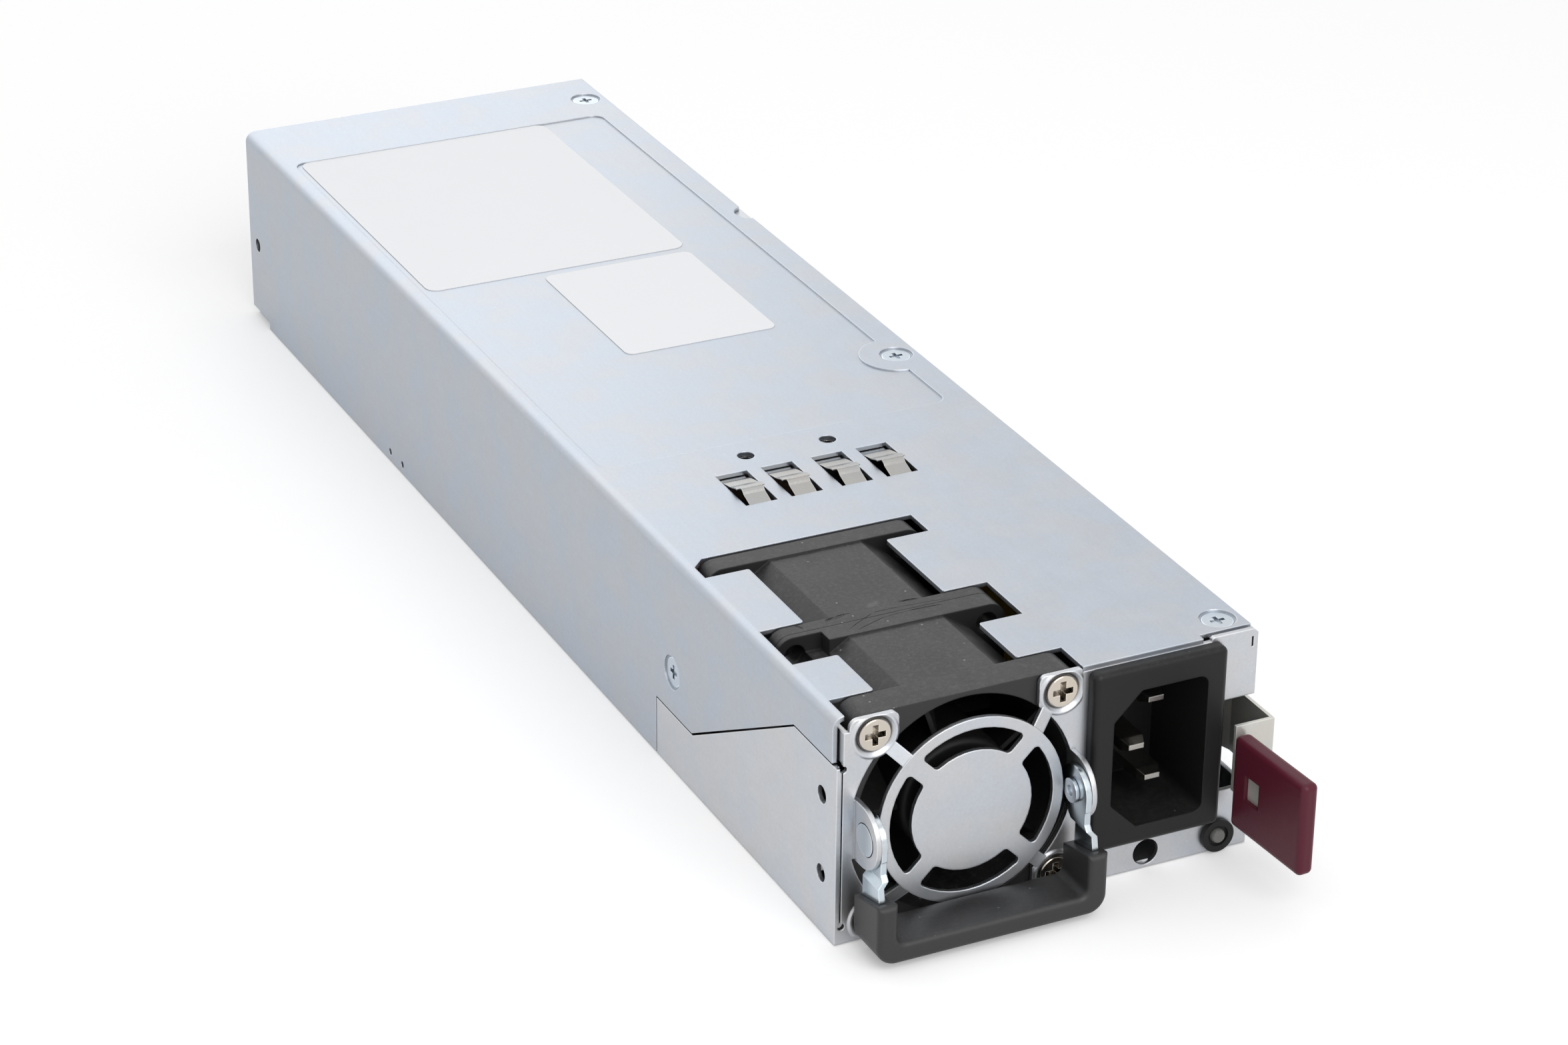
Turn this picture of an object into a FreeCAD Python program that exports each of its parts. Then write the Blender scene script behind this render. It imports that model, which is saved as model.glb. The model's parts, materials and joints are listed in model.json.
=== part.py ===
import FreeCAD, Part
import math
import os
import re

import Sketcher

# Slim hot swap power supply for a server: a folded steel case with two fans in
# line, a mains inlet, a swinging pull handle, a sprung release latch, earthing
# fingers on the lid, and the converter board that ends in a card edge contact.
# Millimetres. X runs across, Y from the front to the back, Z up. The origin is
# the centre of the case's bottom face.

DRIVING_SIZES = [
    ("case_width", 73.5, "outside width of the case"),
    ("case_length", 265.0, "front face to back face"),
    ("case_height", 39.0, "bottom face to top face"),
    ("sheet_gauge", 0.8, "thickness of the folded sheet"),
    ("bend_radius", 2.0, "outside radius of the cover's long bend"),
    ("seam_gap", 0.3, "gap between the cover and the sheet beside it"),
    ("lid_edge_step", 0.5, "how far the lid stops short of the right wall"),
    ("top_flange_width", 8.0, "flange of the right wall that the lid is screwed to"),
    ("fan_from_left", 22.45, "fan axis from the left wall"),
    ("fan_axis_drop", 0.05, "fan axis below the middle of the case's height"),
    ("fan_end_gap", 0.1, "a fan flange inside the case's height, at each end"),
    ("fan_overhang", 0.1, "a fan flange's extra half width over its half height"),
    ("fan_wall", 0.8, "air duct to the flat of a fan flange"),
    ("fan_corner_radius", 3.0, "rounding of a fan flange corner"),
    ("duct_drop", 0.3, "flat of the duct below the flanges"),
    ("duct_flat_half", 8.2, "half width of the duct's flat"),
    ("duct_shoulder_run", 5.0, "run of the duct's first slope beside its flat"),
    ("duct_shoulder_fall", 3.3, "fall of the duct's first slope"),
    ("first_flange_depth", 5.9, "depth of the foremost fan flange"),
    ("joint_flange_depth", 2.4, "depth of the rear fan's front flange"),
    ("flange_depth", 3.9, "depth of the other fan flanges"),
    ("wire_notch_wide", 7.9, "width of the wire notch in the front fan's rear flange"),
    ("wire_notch_deep", 2.9, "depth of the wire notch"),
    ("fan_front_gap", 0.2, "front plate to the first flange"),
    ("front_fan_length", 27.6, "depth of the front fan"),
    ("rear_fan_length", 28.5, "depth of the rear fan"),
    ("fan_joint_gap", 0.12, "gap between the two fans"),
    ("fan_slot_room", 0.3, "room around a flange in the sheet slots"),
    ("wire_room", 5.2, "room for wires in front of the middle flanges"),
    ("rear_slot_lead", 2.0, "room in front of the rearmost flange"),
    ("slot_left_reach", 20.5, "fan axis to the left end of the lid's fan slots"),
    ("slot_right_reach", 19.7, "fan axis to the right end of the lid's fan slots"),
    ("tongue_left_reach", 12.8, "fan axis to the lid tongues on the left"),
    ("tongue_right_reach", 11.9, "fan axis to the lid tongues on the right"),
    ("tongue_round", 0.4, "rounding of the lid tongues"),
    ("impeller_hub_radius", 10.0, "radius of an impeller hub"),
    ("blade_tip_gap", 0.5, "blade tip to the bore"),
    ("blade_thickness", 0.9, "thickness of an impeller blade"),
    ("front_blade_count", 5.0, "blades of the front impeller"),
    ("rear_blade_count", 4.0, "blades of the rear impeller"),
    ("shaft_radius", 1.0, "radius of a fan shaft"),
    ("running_gap", 0.05, "radial gap of a turning fit"),
    ("guard_ring_inset", 3.5, "guard ring inside the width of a fan flange"),
    ("guard_ring_band", 1.8, "sheet between the guard ring's edge and its slots"),
    ("guard_slot_wide", 3.8, "width of a guard slot"),
    ("guard_slot_bridge", 3.0, "sheet left between two guard slots"),
    ("guard_slot_round", 0.8, "rounding of the guard slots"),
    ("guard_spoke_wide", 2.3, "width of a spoke to a corner tab"),
    ("guard_dish", 1.7, "how far the guard stands in front of the front plate"),
    ("guard_air_gap", 2.8, "guard ring to the round edge of the front plate"),
    ("guard_left_room", 1.5, "further room between ring and plate on the left"),
    ("tab_radius", 4.1, "radius of a screw tab"),
    ("plate_left_end", 2.05, "left end of the raised plate edge from the left wall"),
    ("plate_right_end", 42.1, "right end of the raised plate edge from the left wall"),
    ("plate_corner_wide", 8.4, "width of the raised plate corner on the right"),
    ("tab_edge_reach", 12.1, "fan axis to the straight edge of a corner tab"),
    ("tab_rim_radius", 4.15, "foot radius of the raised rim round a fan screw"),
    ("tab_rim_height", 0.25, "height of that rim"),
    ("tab_seat_depth", 0.4, "seat of a fan screw below the front plate"),
    ("fan_screw_inset", 3.35, "fan screw inside the side of a fan flange"),
    ("fan_screw_radius", 1.8, "shank of a fan screw"),
    ("fan_screw_head", 2.7, "head radius of a fan screw"),
    ("fan_screw_head_height", 0.6, "head height of a fan screw"),
    ("fan_cross_long", 3.5, "length of the cross recess in a fan screw"),
    ("handle_from_left", 22.13, "middle of the handle from the left wall"),
    ("ear_half_span", 18.98, "middle of the handle to the outside of an ear"),
    ("ear_radius", 5.2, "radius of a handle ear"),
    ("ear_forward", 2.45, "middle of an ear in front of the front face"),
    ("ear_recess", 0.3, "depth of the rivet's recess in an ear"),
    ("pivot_forward", 3.5, "handle pivot in front of the front face"),
    ("pivot_height", 19.9, "handle pivot above the bottom"),
    ("pivot_pin_radius", 1.5, "radius of a handle rivet"),
    ("pivot_head_radius", 2.6, "head radius of a handle rivet"),
    ("bail_gauge", 1.0, "thickness of the handle strap"),
    ("bail_eye_radius", 4.1, "radius of the strap's eye"),
    ("bail_joggle", 0.85, "outward step of the strap under its eye"),
    ("bail_knee", 13.6, "lower end of the strap's outward step"),
    ("bail_knee_rise", 1.0, "height of the strap's outward step"),
    ("bail_back", 3.0, "back edge of the strap in front of the front face"),
    ("bail_front", 8.6, "front edge of the strap at the grip"),
    ("bail_neck", 7.3, "front edge of the strap at its neck"),
    ("grip_half_width", 19.9, "middle of the handle to the outside of the grip"),
    ("grip_wall", 3.4, "thickness of the grip's legs and bar"),
    ("grip_bottom", 1.1, "underside of the grip above the case bottom"),
    ("grip_leg_height", 10.6, "height of the grip's legs at the front"),
    ("grip_leg_fall", 1.9, "fall of the legs' ends to the back"),
    ("grip_soft", 0.9, "rounding of the grip's front edges"),
    ("grip_front", 10.6, "front of the grip in front of the front face"),
    ("grip_back", 2.2, "back of the grip in front of the front face"),
    ("inlet_left", 43.2, "left side of the inlet bezel from the left wall"),
    ("inlet_width", 23.8, "width of the inlet bezel"),
    ("inlet_bottom", 6.2, "underside of the inlet bezel"),
    ("inlet_top_gap", 0.9, "inlet bezel below the top face"),
    ("inlet_soft", 1.0, "rounding of the bezel's front edge"),
    ("socket_height", 21.75, "middle of the plug cavity above the bottom"),
    ("inlet_proud", 2.3, "bezel in front of the front face"),
    ("inlet_body_step", 1.2, "bezel rim around the inlet body"),
    ("inlet_body_depth", 24.0, "inlet body behind the front face"),
    ("socket_width", 16.7, "width of the plug cavity"),
    ("socket_tall", 24.4, "height of the plug cavity"),
    ("socket_depth", 16.5, "depth of the plug cavity"),
    ("socket_corner_cut", 4.8, "chamfer of the plug cavity"),
    ("pin_wide", 4.0, "width of an inlet pin"),
    ("pin_thick", 2.0, "thickness of an inlet pin"),
    ("pin_spacing", 14.0, "line pin to neutral pin"),
    ("earth_pin_offset", 4.0, "earth pin beside the other two"),
    ("lamp_from_left", 67.9, "status lamp from the left wall"),
    ("lamp_height", 2.9, "status lamp above the bottom"),
    ("lamp_bezel_radius", 2.85, "radius of the lamp bezel"),
    ("lamp_lens_radius", 1.3, "radius of the lamp lens"),
    ("vent_hole_radius", 2.3, "radius of the hole under the inlet"),
    ("vent_hole_from_left", 55.0, "that hole from the left wall"),
    ("latch_bottom", 12.3, "lower edge of the latch strip"),
    ("latch_top", 24.0, "upper edge of the latch strip"),
    ("latch_gauge", 0.6, "thickness of the latch strip"),
    ("latch_barb", 1.95, "catch outside the right wall"),
    ("latch_wall_gap", 0.1, "latch strip to the right wall"),
    ("latch_root", 50.0, "strip's bending line behind the front face"),
    ("latch_anchor_length", 12.0, "riveted end of the strip"),
    ("latch_lead", 2.7, "back of the strip's front fold in front of the case"),
    ("latch_tab_inset", 5.65, "left side of the tab inside the right wall"),
    ("tab_thick", 3.0, "thickness of the release tab"),
    ("tab_long", 18.9, "length of the release tab"),
    ("tab_bottom", 6.6, "lower edge of the release tab"),
    ("tab_tall", 16.2, "height of the release tab"),
    ("tab_lean", 3.5, "outward lean of the release tab in degrees"),
    ("tab_skin", 0.6, "tab moulding to the left of its metal core"),
    ("tab_window_back", 7.3, "back of the tab's window in front of the front face"),
    ("tab_window_long", 3.7, "length of the tab's window"),
    ("tab_window_low", 12.9, "lower edge of the tab's window"),
    ("tab_window_tall", 4.4, "height of the tab's window"),
    ("latch_slot_low", 10.7, "lower edge of the latch slot"),
    ("latch_slot_high", 27.2, "upper edge of the latch slot"),
    ("latch_slot_back", 19.0, "back of the latch slot in the right wall"),
    ("tab_edge_radius", 1.0, "rounding of the release tab"),
    ("cover_screw_radius", 1.45, "shank of a cover screw"),
    ("cover_screw_head", 2.7, "head radius of a cover screw"),
    ("cover_dimple_radius", 3.0, "radius of a screw dimple in the cover"),
    ("cover_dimple_depth", 0.3, "depth of a screw dimple"),
    ("cover_screw_inset", 4.4, "top screws from the right wall"),
    ("front_screw_back", 5.2, "front top screw behind the front face"),
    ("middle_screw_back", 115.6, "middle top screw behind the front face"),
    ("rear_screw_ahead", 11.0, "rear top screw ahead of the back face"),
    ("side_screw_back", 60.0, "side screw behind the front face"),
    ("side_screw_height", 18.0, "side screw above the bottom"),
    ("patch_length", 66.0, "length of the front patch of the left wall"),
    ("patch_low", 10.3, "height of the patch at its back"),
    ("patch_high", 31.0, "height of the patch at its front"),
    ("patch_slope_back", 52.0, "lower end of the patch's slope"),
    ("patch_slope_front", 14.8, "upper end of the patch's slope"),
    ("finger_count", 4.0, "earthing fingers"),
    ("finger_first", 21.9, "first finger from the left wall"),
    ("finger_pitch", 8.4, "finger to finger in a pair"),
    ("finger_pair_step", 17.75, "pair of fingers to the next pair"),
    ("finger_wide", 4.5, "width of a finger"),
    ("finger_window_wide", 5.85, "width of a finger window"),
    ("finger_window_front", 72.0, "front edge of the finger windows"),
    ("finger_window_long", 12.2, "length of a finger window"),
    ("finger_bend", 1.2, "steep part of a finger ahead of its window's back edge"),
    ("finger_rise", 1.1, "crest of a finger above the lid"),
    ("finger_gauge", 0.3, "thickness of the finger sheet"),
    ("label_front", 94.5, "front edge of the label recess"),
    ("label_back_inset", 20.0, "back edge of the label recess ahead of the back face"),
    ("label_left", 2.9, "left edge of the label recess"),
    ("label_right", 68.3, "right edge of the label recess"),
    ("label_depth", 0.25, "depth of the label recess"),
    ("middle_standoff_back", 147.0, "middle standoff behind the front face"),
    ("board_height", 6.0, "underside of the main board"),
    ("board_gauge", 1.6, "thickness of the boards"),
    ("board_front", 64.0, "front edge of the main board"),
    ("tongue_long", 9.0, "card edge behind the back face"),
    ("tongue_wide", 50.0, "width of the card edge"),
    ("contact_pitch", 2.54, "spacing of the edge contacts"),
    ("contact_count", 18.0, "edge contacts on one side"),
    ("fuse_radius", 2.6, "radius of the input fuse"),
    ("fuse_long", 20.0, "length of the input fuse"),
    ("fuse_beside_fan", 6.5, "fuse to the side of the fans"),
    ("filter_box_wide", 7.5, "width of a filter capacitor"),
    ("filter_box_long", 12.0, "length of a filter capacitor"),
    ("filter_box_tall", 15.0, "height of the taller filter capacitor"),
    ("filter_box_step", 2.0, "how much lower the other one is"),
    ("choke_radius", 10.5, "outside radius of a filter choke"),
    ("choke_bore", 4.5, "bore of a filter choke"),
    ("choke_tall", 13.0, "height of a filter choke"),
    ("choke_from_left", 17.0, "first choke from the left wall"),
    ("choke_pitch", 27.0, "choke to choke"),
    ("choke_back", 17.5, "chokes behind the board's front edge"),
    ("relay_wide", 11.0, "width of the input relay"),
    ("relay_long", 16.0, "length of the input relay"),
    ("relay_tall", 16.0, "height of the input relay"),
    ("relay_back", 9.0, "relay behind the board's front edge"),
    ("sink_gauge", 3.0, "thickness of the heatsink webs"),
    ("sink_head_gap", 3.6, "tall parts below the lid"),
    ("sink_side_gap", 5.0, "heatsinks from the left wall"),
    ("fin_gauge", 1.2, "thickness of a heatsink fin"),
    ("fin_deep", 2.5, "depth of a primary heatsink fin"),
    ("fin_pitch", 5.0, "spacing of the primary heatsink fins"),
    ("fin_lift", 2.0, "heatsink fins above the packages"),
    ("output_fin_deep", 6.0, "depth of an output heatsink fin"),
    ("output_fin_pitch", 5.2, "spacing of the output heatsink fins"),
    ("rectifier_plate_wide", 59.0, "width of the rectifier's heatsink"),
    ("rectifier_plate_gauge", 2.0, "thickness of the rectifier's heatsink"),
    ("rectifier_plate_back", 33.0, "that heatsink behind the board's front edge"),
    ("rectifier_wide", 16.0, "width of the bridge rectifier"),
    ("rectifier_tall", 20.0, "height of the bridge rectifier"),
    ("package_thick", 4.5, "thickness of a power package"),
    ("package_wide", 10.0, "width of a power transistor"),
    ("package_tall", 15.5, "height of a primary transistor"),
    ("package_pitch", 13.0, "spacing of the primary transistors"),
    ("output_package_tall", 13.5, "height of an output transistor"),
    ("output_package_pitch", 11.5, "spacing of the output transistors"),
    ("part_lift", 1.5, "packages above the board"),
    ("bulk_can_long", 44.0, "length of a bulk capacitor"),
    ("bulk_can_from_left", 19.0, "first bulk capacitor from the left wall"),
    ("bulk_can_gap", 1.2, "gap between the bulk capacitors"),
    ("bulk_can_round", 1.2, "rounding of a bulk capacitor's rims"),
    ("stage_gap", 4.0, "gap between two rows of parts"),
    ("primary_sink_long", 40.0, "length of the primary heatsink"),
    ("transformer_from_left", 20.0, "transformer from the left wall"),
    ("transformer_wide", 25.0, "width of the transformer core"),
    ("transformer_long", 36.0, "length of the transformer core"),
    ("transformer_tall", 26.0, "height of the transformer core"),
    ("transformer_yoke", 5.0, "thickness of the core's yokes"),
    ("transformer_leg", 4.0, "thickness of the core's middle leg"),
    ("winding_proud", 3.5, "winding beside the core"),
    ("winding_gap", 0.2, "winding to the core"),
    ("standby_size", 16.0, "width and length of the standby transformer"),
    ("standby_tall", 18.0, "height of the standby transformer"),
    ("standby_from_right", 7.5, "standby transformer from the right wall"),
    ("control_long", 35.0, "length of the control board"),
    ("control_tall", 24.0, "height of the control board"),
    ("control_from_right", 11.9, "control board from the right wall"),
    ("output_sink_wide", 48.0, "width of the output heatsink"),
    ("output_can_radius", 4.6, "radius of an output capacitor"),
    ("output_can_tall", 18.0, "height of an output capacitor"),
    ("output_can_pitch", 11.0, "spacing of the output capacitors"),
    ("output_ring_radius", 11.0, "outside radius of the output inductor"),
    ("output_ring_bore", 5.0, "bore of the output inductor"),
    ("output_ring_thick", 10.0, "thickness of the output inductor"),
    ("vent_radius", 1.6, "radius of a rear vent hole"),
    ("vent_pitch", 4.6, "spacing of the rear vent holes"),
]

doc = FreeCAD.newDocument("server_power_supply")
sheet = doc.addObject("Spreadsheet::Sheet", "sizes")
for row, (alias, number, meaning) in enumerate(DRIVING_SIZES, start=1):
    sheet.set(f"A{row}", meaning)
    sheet.set(f"B{row}", str(number))
    sheet.setAlias(f"B{row}", alias)
doc.recompute()


class Size:
    """A size as a formula over the sheet, with its present number."""

    def __init__(self, text, number):
        self.text = text
        self.number = number

    def join(self, other, sign, number):
        """This size and another one in one formula."""
        other_text = other.text if isinstance(other, Size) else repr(float(other))
        return Size(f"({self.text} {sign} {other_text})", number)

    def __add__(self, other):
        return self.join(other, "+", self.number + float(other))

    def __radd__(self, other):
        return self + other

    def __sub__(self, other):
        return self.join(other, "-", self.number - float(other))

    def __rsub__(self, other):
        return -self + other

    def __mul__(self, other):
        return self.join(other, "*", self.number * float(other))

    def __rmul__(self, other):
        return self * other

    def __truediv__(self, other):
        return self.join(other, "/", self.number / float(other))

    def __neg__(self):
        return Size(f"(-1 * {self.text})", -self.number)

    def __float__(self):
        return float(self.number)


def size(alias):
    """The named cell of the sheet."""
    return Size(f"sizes.{alias}", float(sheet.get(alias)))


def bind(thing, prop, length):
    """Ties a property to the sheet, or sets it where it is a plain number."""
    if isinstance(length, Size):
        thing.setExpression(prop, length.text)
    else:
        thing.setExpression(prop, repr(float(length)))


def place(thing, x, y, z, rotation=FreeCAD.Rotation()):
    """Puts a primitive at a point, turned."""
    thing.Placement = FreeCAD.Placement(FreeCAD.Vector(0, 0, 0), rotation)
    for axis, length in (("x", x), ("y", y), ("z", z)):
        bind(thing, f"Placement.Base.{axis}", length)
    return thing


ALONG = {
    "X": FreeCAD.Rotation(FreeCAD.Vector(0, 1, 0), 90),
    "Y": FreeCAD.Rotation(FreeCAD.Vector(1, 0, 0), -90),
    "Z": FreeCAD.Rotation(),
}


def block(name, x, y, z):
    """A block between three pairs of planes."""
    thing = doc.addObject("Part::Box", name)
    for prop, (low, high) in (("Length", x), ("Width", y), ("Height", z)):
        bind(thing, prop, high - low)
    return place(thing, x[0], y[0], z[0])


def rod(name, axis, radius, start, length):
    """A cylinder from a point along +X, +Y or +Z."""
    thing = doc.addObject("Part::Cylinder", name)
    bind(thing, "Radius", radius)
    bind(thing, "Height", length)
    return place(thing, *start, rotation=ALONG[axis])


def taper(name, axis, start_radius, end_radius, start, length):
    """A cone from a point along +X, +Y or +Z."""
    thing = doc.addObject("Part::Cone", name)
    bind(thing, "Radius1", start_radius)
    bind(thing, "Radius2", end_radius)
    bind(thing, "Height", length)
    return place(thing, *start, rotation=ALONG[axis])


def fuse(name, pieces):
    """One solid from touching pieces."""
    thing = doc.addObject("Part::MultiFuse", name)
    thing.Shapes = pieces
    thing.Refine = True
    return thing


def cut(name, base, tools):
    """The base less its tools."""
    thing = doc.addObject("Part::Cut", name)
    thing.Base = base
    thing.Tool = tools[0] if len(tools) == 1 else collect(f"{name}_tools", tools)
    thing.Refine = True
    return thing


def collect(name, pieces):
    """Separate solids kept side by side."""
    thing = doc.addObject("Part::Compound", name)
    thing.Links = pieces
    return thing


def common(name, pieces):
    """What all the pieces share."""
    thing = doc.addObject("Part::MultiCommon", name)
    thing.Shapes = pieces
    return thing


def rounded(name, base, radius, wanted):
    """A copy of the base with the wanted edges rounded."""
    doc.recompute()
    thing = doc.addObject("Part::Fillet", name)
    thing.Base = base
    edges = enumerate(base.Shape.Edges, start=1)
    thing.Edges = [(index, float(radius), float(radius)) for index, edge in edges if wanted(edge)]
    return thing


def origin_plane(body, role):
    """One of the body's own origin planes."""
    return next(item for item in body.Origin.OriginFeatures if item.Role == role)


PLANES = {"X": "YZ_Plane", "Y": "XZ_Plane", "Z": "XY_Plane"}


def padded(name, axis, corners, low, high, rounds=()):
    """A body: a closed outline padded along an axis, with some corners rounded."""
    body = doc.addObject("PartDesign::Body", name)
    sketch = body.newObject("Sketcher::SketchObject", f"{name}_outline")
    sketch.AttachmentSupport = (origin_plane(body, PLANES[axis]), [""])
    sketch.MapMode = "FlatFace"
    offset = -high if axis == "Y" else low
    bind(sketch, "AttachmentOffset.Base.z", offset)
    points = [FreeCAD.Vector(float(a), float(b), 0) for a, b in corners]
    count = len(points)
    for index in range(count):
        sketch.addGeometry(Part.LineSegment(points[index], points[(index + 1) % count]))
    for index in range(count):
        sketch.addConstraint(Sketcher.Constraint("Coincident", index, 2, (index + 1) % count, 1))
    for index, corner in enumerate(corners):
        for kind, length in zip(("DistanceX", "DistanceY"), corner):
            limit = Sketcher.Constraint(kind, -1, 1, index, 1, float(length))
            number = sketch.addConstraint(limit)
            bind(sketch, f"Constraints[{number}]", length)
    pad = body.newObject("PartDesign::Pad", f"{name}_pad")
    pad.Profile = sketch
    bind(pad, "Length", high - low)
    tip = pad
    for turn, (chosen, radius) in enumerate(rounds):
        doc.recompute()
        fillet = body.newObject("PartDesign::Fillet", f"{name}_round_{turn}")
        fillet.Base = (tip, corner_edges(tip.Shape, axis, [points[index] for index in chosen]))
        bind(fillet, "Radius", radius)
        tip = fillet
    body.Tip = tip
    return body


def corner_edges(shape, axis, points):
    """Names of the edges that stand on the given outline corners."""
    across = {"X": ("y", "z"), "Y": ("x", "z"), "Z": ("x", "y")}[axis]
    names = []
    for number, edge in enumerate(shape.Edges, start=1):
        ends = [vertex.Point for vertex in edge.Vertexes]
        for point in points:
            near = [abs(getattr(end, across[0]) - point.x) + abs(getattr(end, across[1]) - point.y) < 1e-4
                    for end in ends]
            if len(ends) == 2 and all(near):
                names.append(f"Edge{number}")
    return names


def runs_along(axis):
    """A test for straight edges that run along one axis."""
    def test(edge):
        box = edge.BoundBox
        spans = {"X": box.XLength, "Y": box.YLength, "Z": box.ZLength}
        return spans[axis] > 1e-3 and sum(spans.values()) - spans[axis] < 1e-6
    return test


nodes = []


def node(thing, label):
    """Marks a finished sub-part and names it."""
    thing.Label = label
    nodes.append(thing)
    return thing


def code_solid(name, shape, placement):
    """A solid worked out from the sheet by code, and put in its place."""
    thing = doc.addObject("Part::Feature", name)
    thing.Shape = shape
    thing.Placement = placement
    return thing


# Planes of the case that most pieces share

gauge = size("sheet_gauge")
left = -size("case_width") / 2
right = size("case_width") / 2
front = -size("case_length") / 2
back = size("case_length") / 2
top = size("case_height")
seam = size("seam_gap")
inner_left = left + gauge + seam
inner_right = right - gauge
under_lid = top - gauge
beyond = 2.0

fan_x = left + size("fan_from_left")
fan_z = size("case_height") / 2 - size("fan_axis_drop")
fan_half_tall = size("case_height") / 2 - size("fan_end_gap")
fan_half_wide = fan_half_tall + size("fan_overhang")
fan_bore = fan_half_tall - size("fan_wall")
half_spacing = fan_half_wide - size("fan_screw_inset")
fan_screw_places = [(fan_x + sx * half_spacing, fan_z + sz * half_spacing)
                    for sx in (-1, 1) for sz in (-1, 1)]
front_fan_start = front + gauge + size("fan_front_gap")
front_fan_end = front_fan_start + size("front_fan_length")
rear_fan_start = front_fan_end + size("fan_joint_gap")
rear_fan_end = rear_fan_start + size("rear_fan_length")
slot_room = size("fan_slot_room")
handle_x = left + size("handle_from_left")
pivot_y = front - size("pivot_forward")
pivot_z = size("pivot_height")
running = size("running_gap")

top_screw_x = right - size("cover_screw_inset")
middle_screw_y = front + size("middle_screw_back")
top_screw_places = [(top_screw_x, front + size("front_screw_back")), (top_screw_x, middle_screw_y),
                    (top_screw_x, back - size("rear_screw_ahead"))]
side_screw_y = front + size("side_screw_back")
side_screw_z = size("side_screw_height")


def ear_faces(sign):
    """Outer and inner face of an ear, as seen from its side."""
    outside = handle_x + sign * size("ear_half_span")
    return outside, outside - sign * gauge


# Left wall patch: the corner of the left wall that belongs to the chassis

def patch_outline(grow):
    """Corners (y, z) of the patch, grown by the seam where it is the cover's cut."""
    low = size("patch_low")
    high = size("patch_high")
    return [
        (front - grow, -grow),
        (front + size("patch_length") + grow, -grow),
        (front + size("patch_length") + grow, low + grow),
        (front + size("patch_slope_back") + grow, low + grow),
        (front + size("patch_slope_front") + grow / 2, high + grow),
        (front - grow, high + grow),
    ]


def build_chassis():
    """Floor, right wall, front plate with finger guard, back plate and ears."""
    floor = block("chassis_floor", (inner_left, right), (front, back), (0.0 * gauge, gauge))
    floor_edge = block("chassis_floor_edge", (left, inner_left),
                       (front, front + size("patch_length")), (0.0 * gauge, gauge))
    wall = block("chassis_wall", (inner_right, right), (front, back), (0.0 * gauge, under_lid))
    flange = block("chassis_top_flange", (right - size("top_flange_width"), right),
                   (front, back), (under_lid - gauge, under_lid))
    bend_room = size("bend_radius") - gauge
    rear = padded("chassis_back_plate", "Y", [
        (inner_left, 0.0 * gauge), (right, 0.0 * gauge), (right, under_lid),
        (inner_left + bend_room, under_lid), (inner_left, under_lid - bend_room)], back - gauge, back)
    patch = padded("chassis_left_patch", "X", patch_outline(0.0 * gauge), left, left + gauge)
    side_flange = block("chassis_side_flange", (inner_left, inner_left + gauge),
                        (front, front + 9.0), (size("patch_high") + 0.6, under_lid - 1.2))
    bridge = block("chassis_front_return", (left, inner_left + gauge), (front, front + gauge),
                   (0.0 * gauge, size("patch_high")))
    pieces = [floor, floor_edge, wall, flange, rear, patch, side_flange, bridge, front_plate()]
    pieces += guard_dish() + screw_rims()
    reach = size("ear_radius")
    ear_y = front - size("ear_forward")
    ear_foot = 1.5
    for side, sign in (("left", -1), ("right", 1)):
        outside, inside = ear_faces(sign)
        low, high = (outside, inside) if sign < 0 else (inside, outside)
        disc = rod(f"{side}_ear_disc", "X", reach, (low, ear_y, pivot_z), gauge)
        before = block(f"{side}_ear_front_half", (low, high), (ear_y - reach, ear_y + 0.1),
                       (pivot_z - reach, pivot_z + reach))
        pieces.append(common(f"{side}_ear_eye", [disc, before]))
        pieces.append(block(f"{side}_ear_root", (low, high), (ear_y, front + gauge),
                            (pivot_z - reach, pivot_z + reach)))
        foot = (outside - ear_foot, inside) if sign < 0 else (inside, outside + ear_foot)
        pieces.append(block(f"{side}_ear_foot", foot, (front, front + gauge),
                            (pivot_z - reach, pivot_z + reach)))
    return fuse("chassis_blank", pieces)


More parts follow.
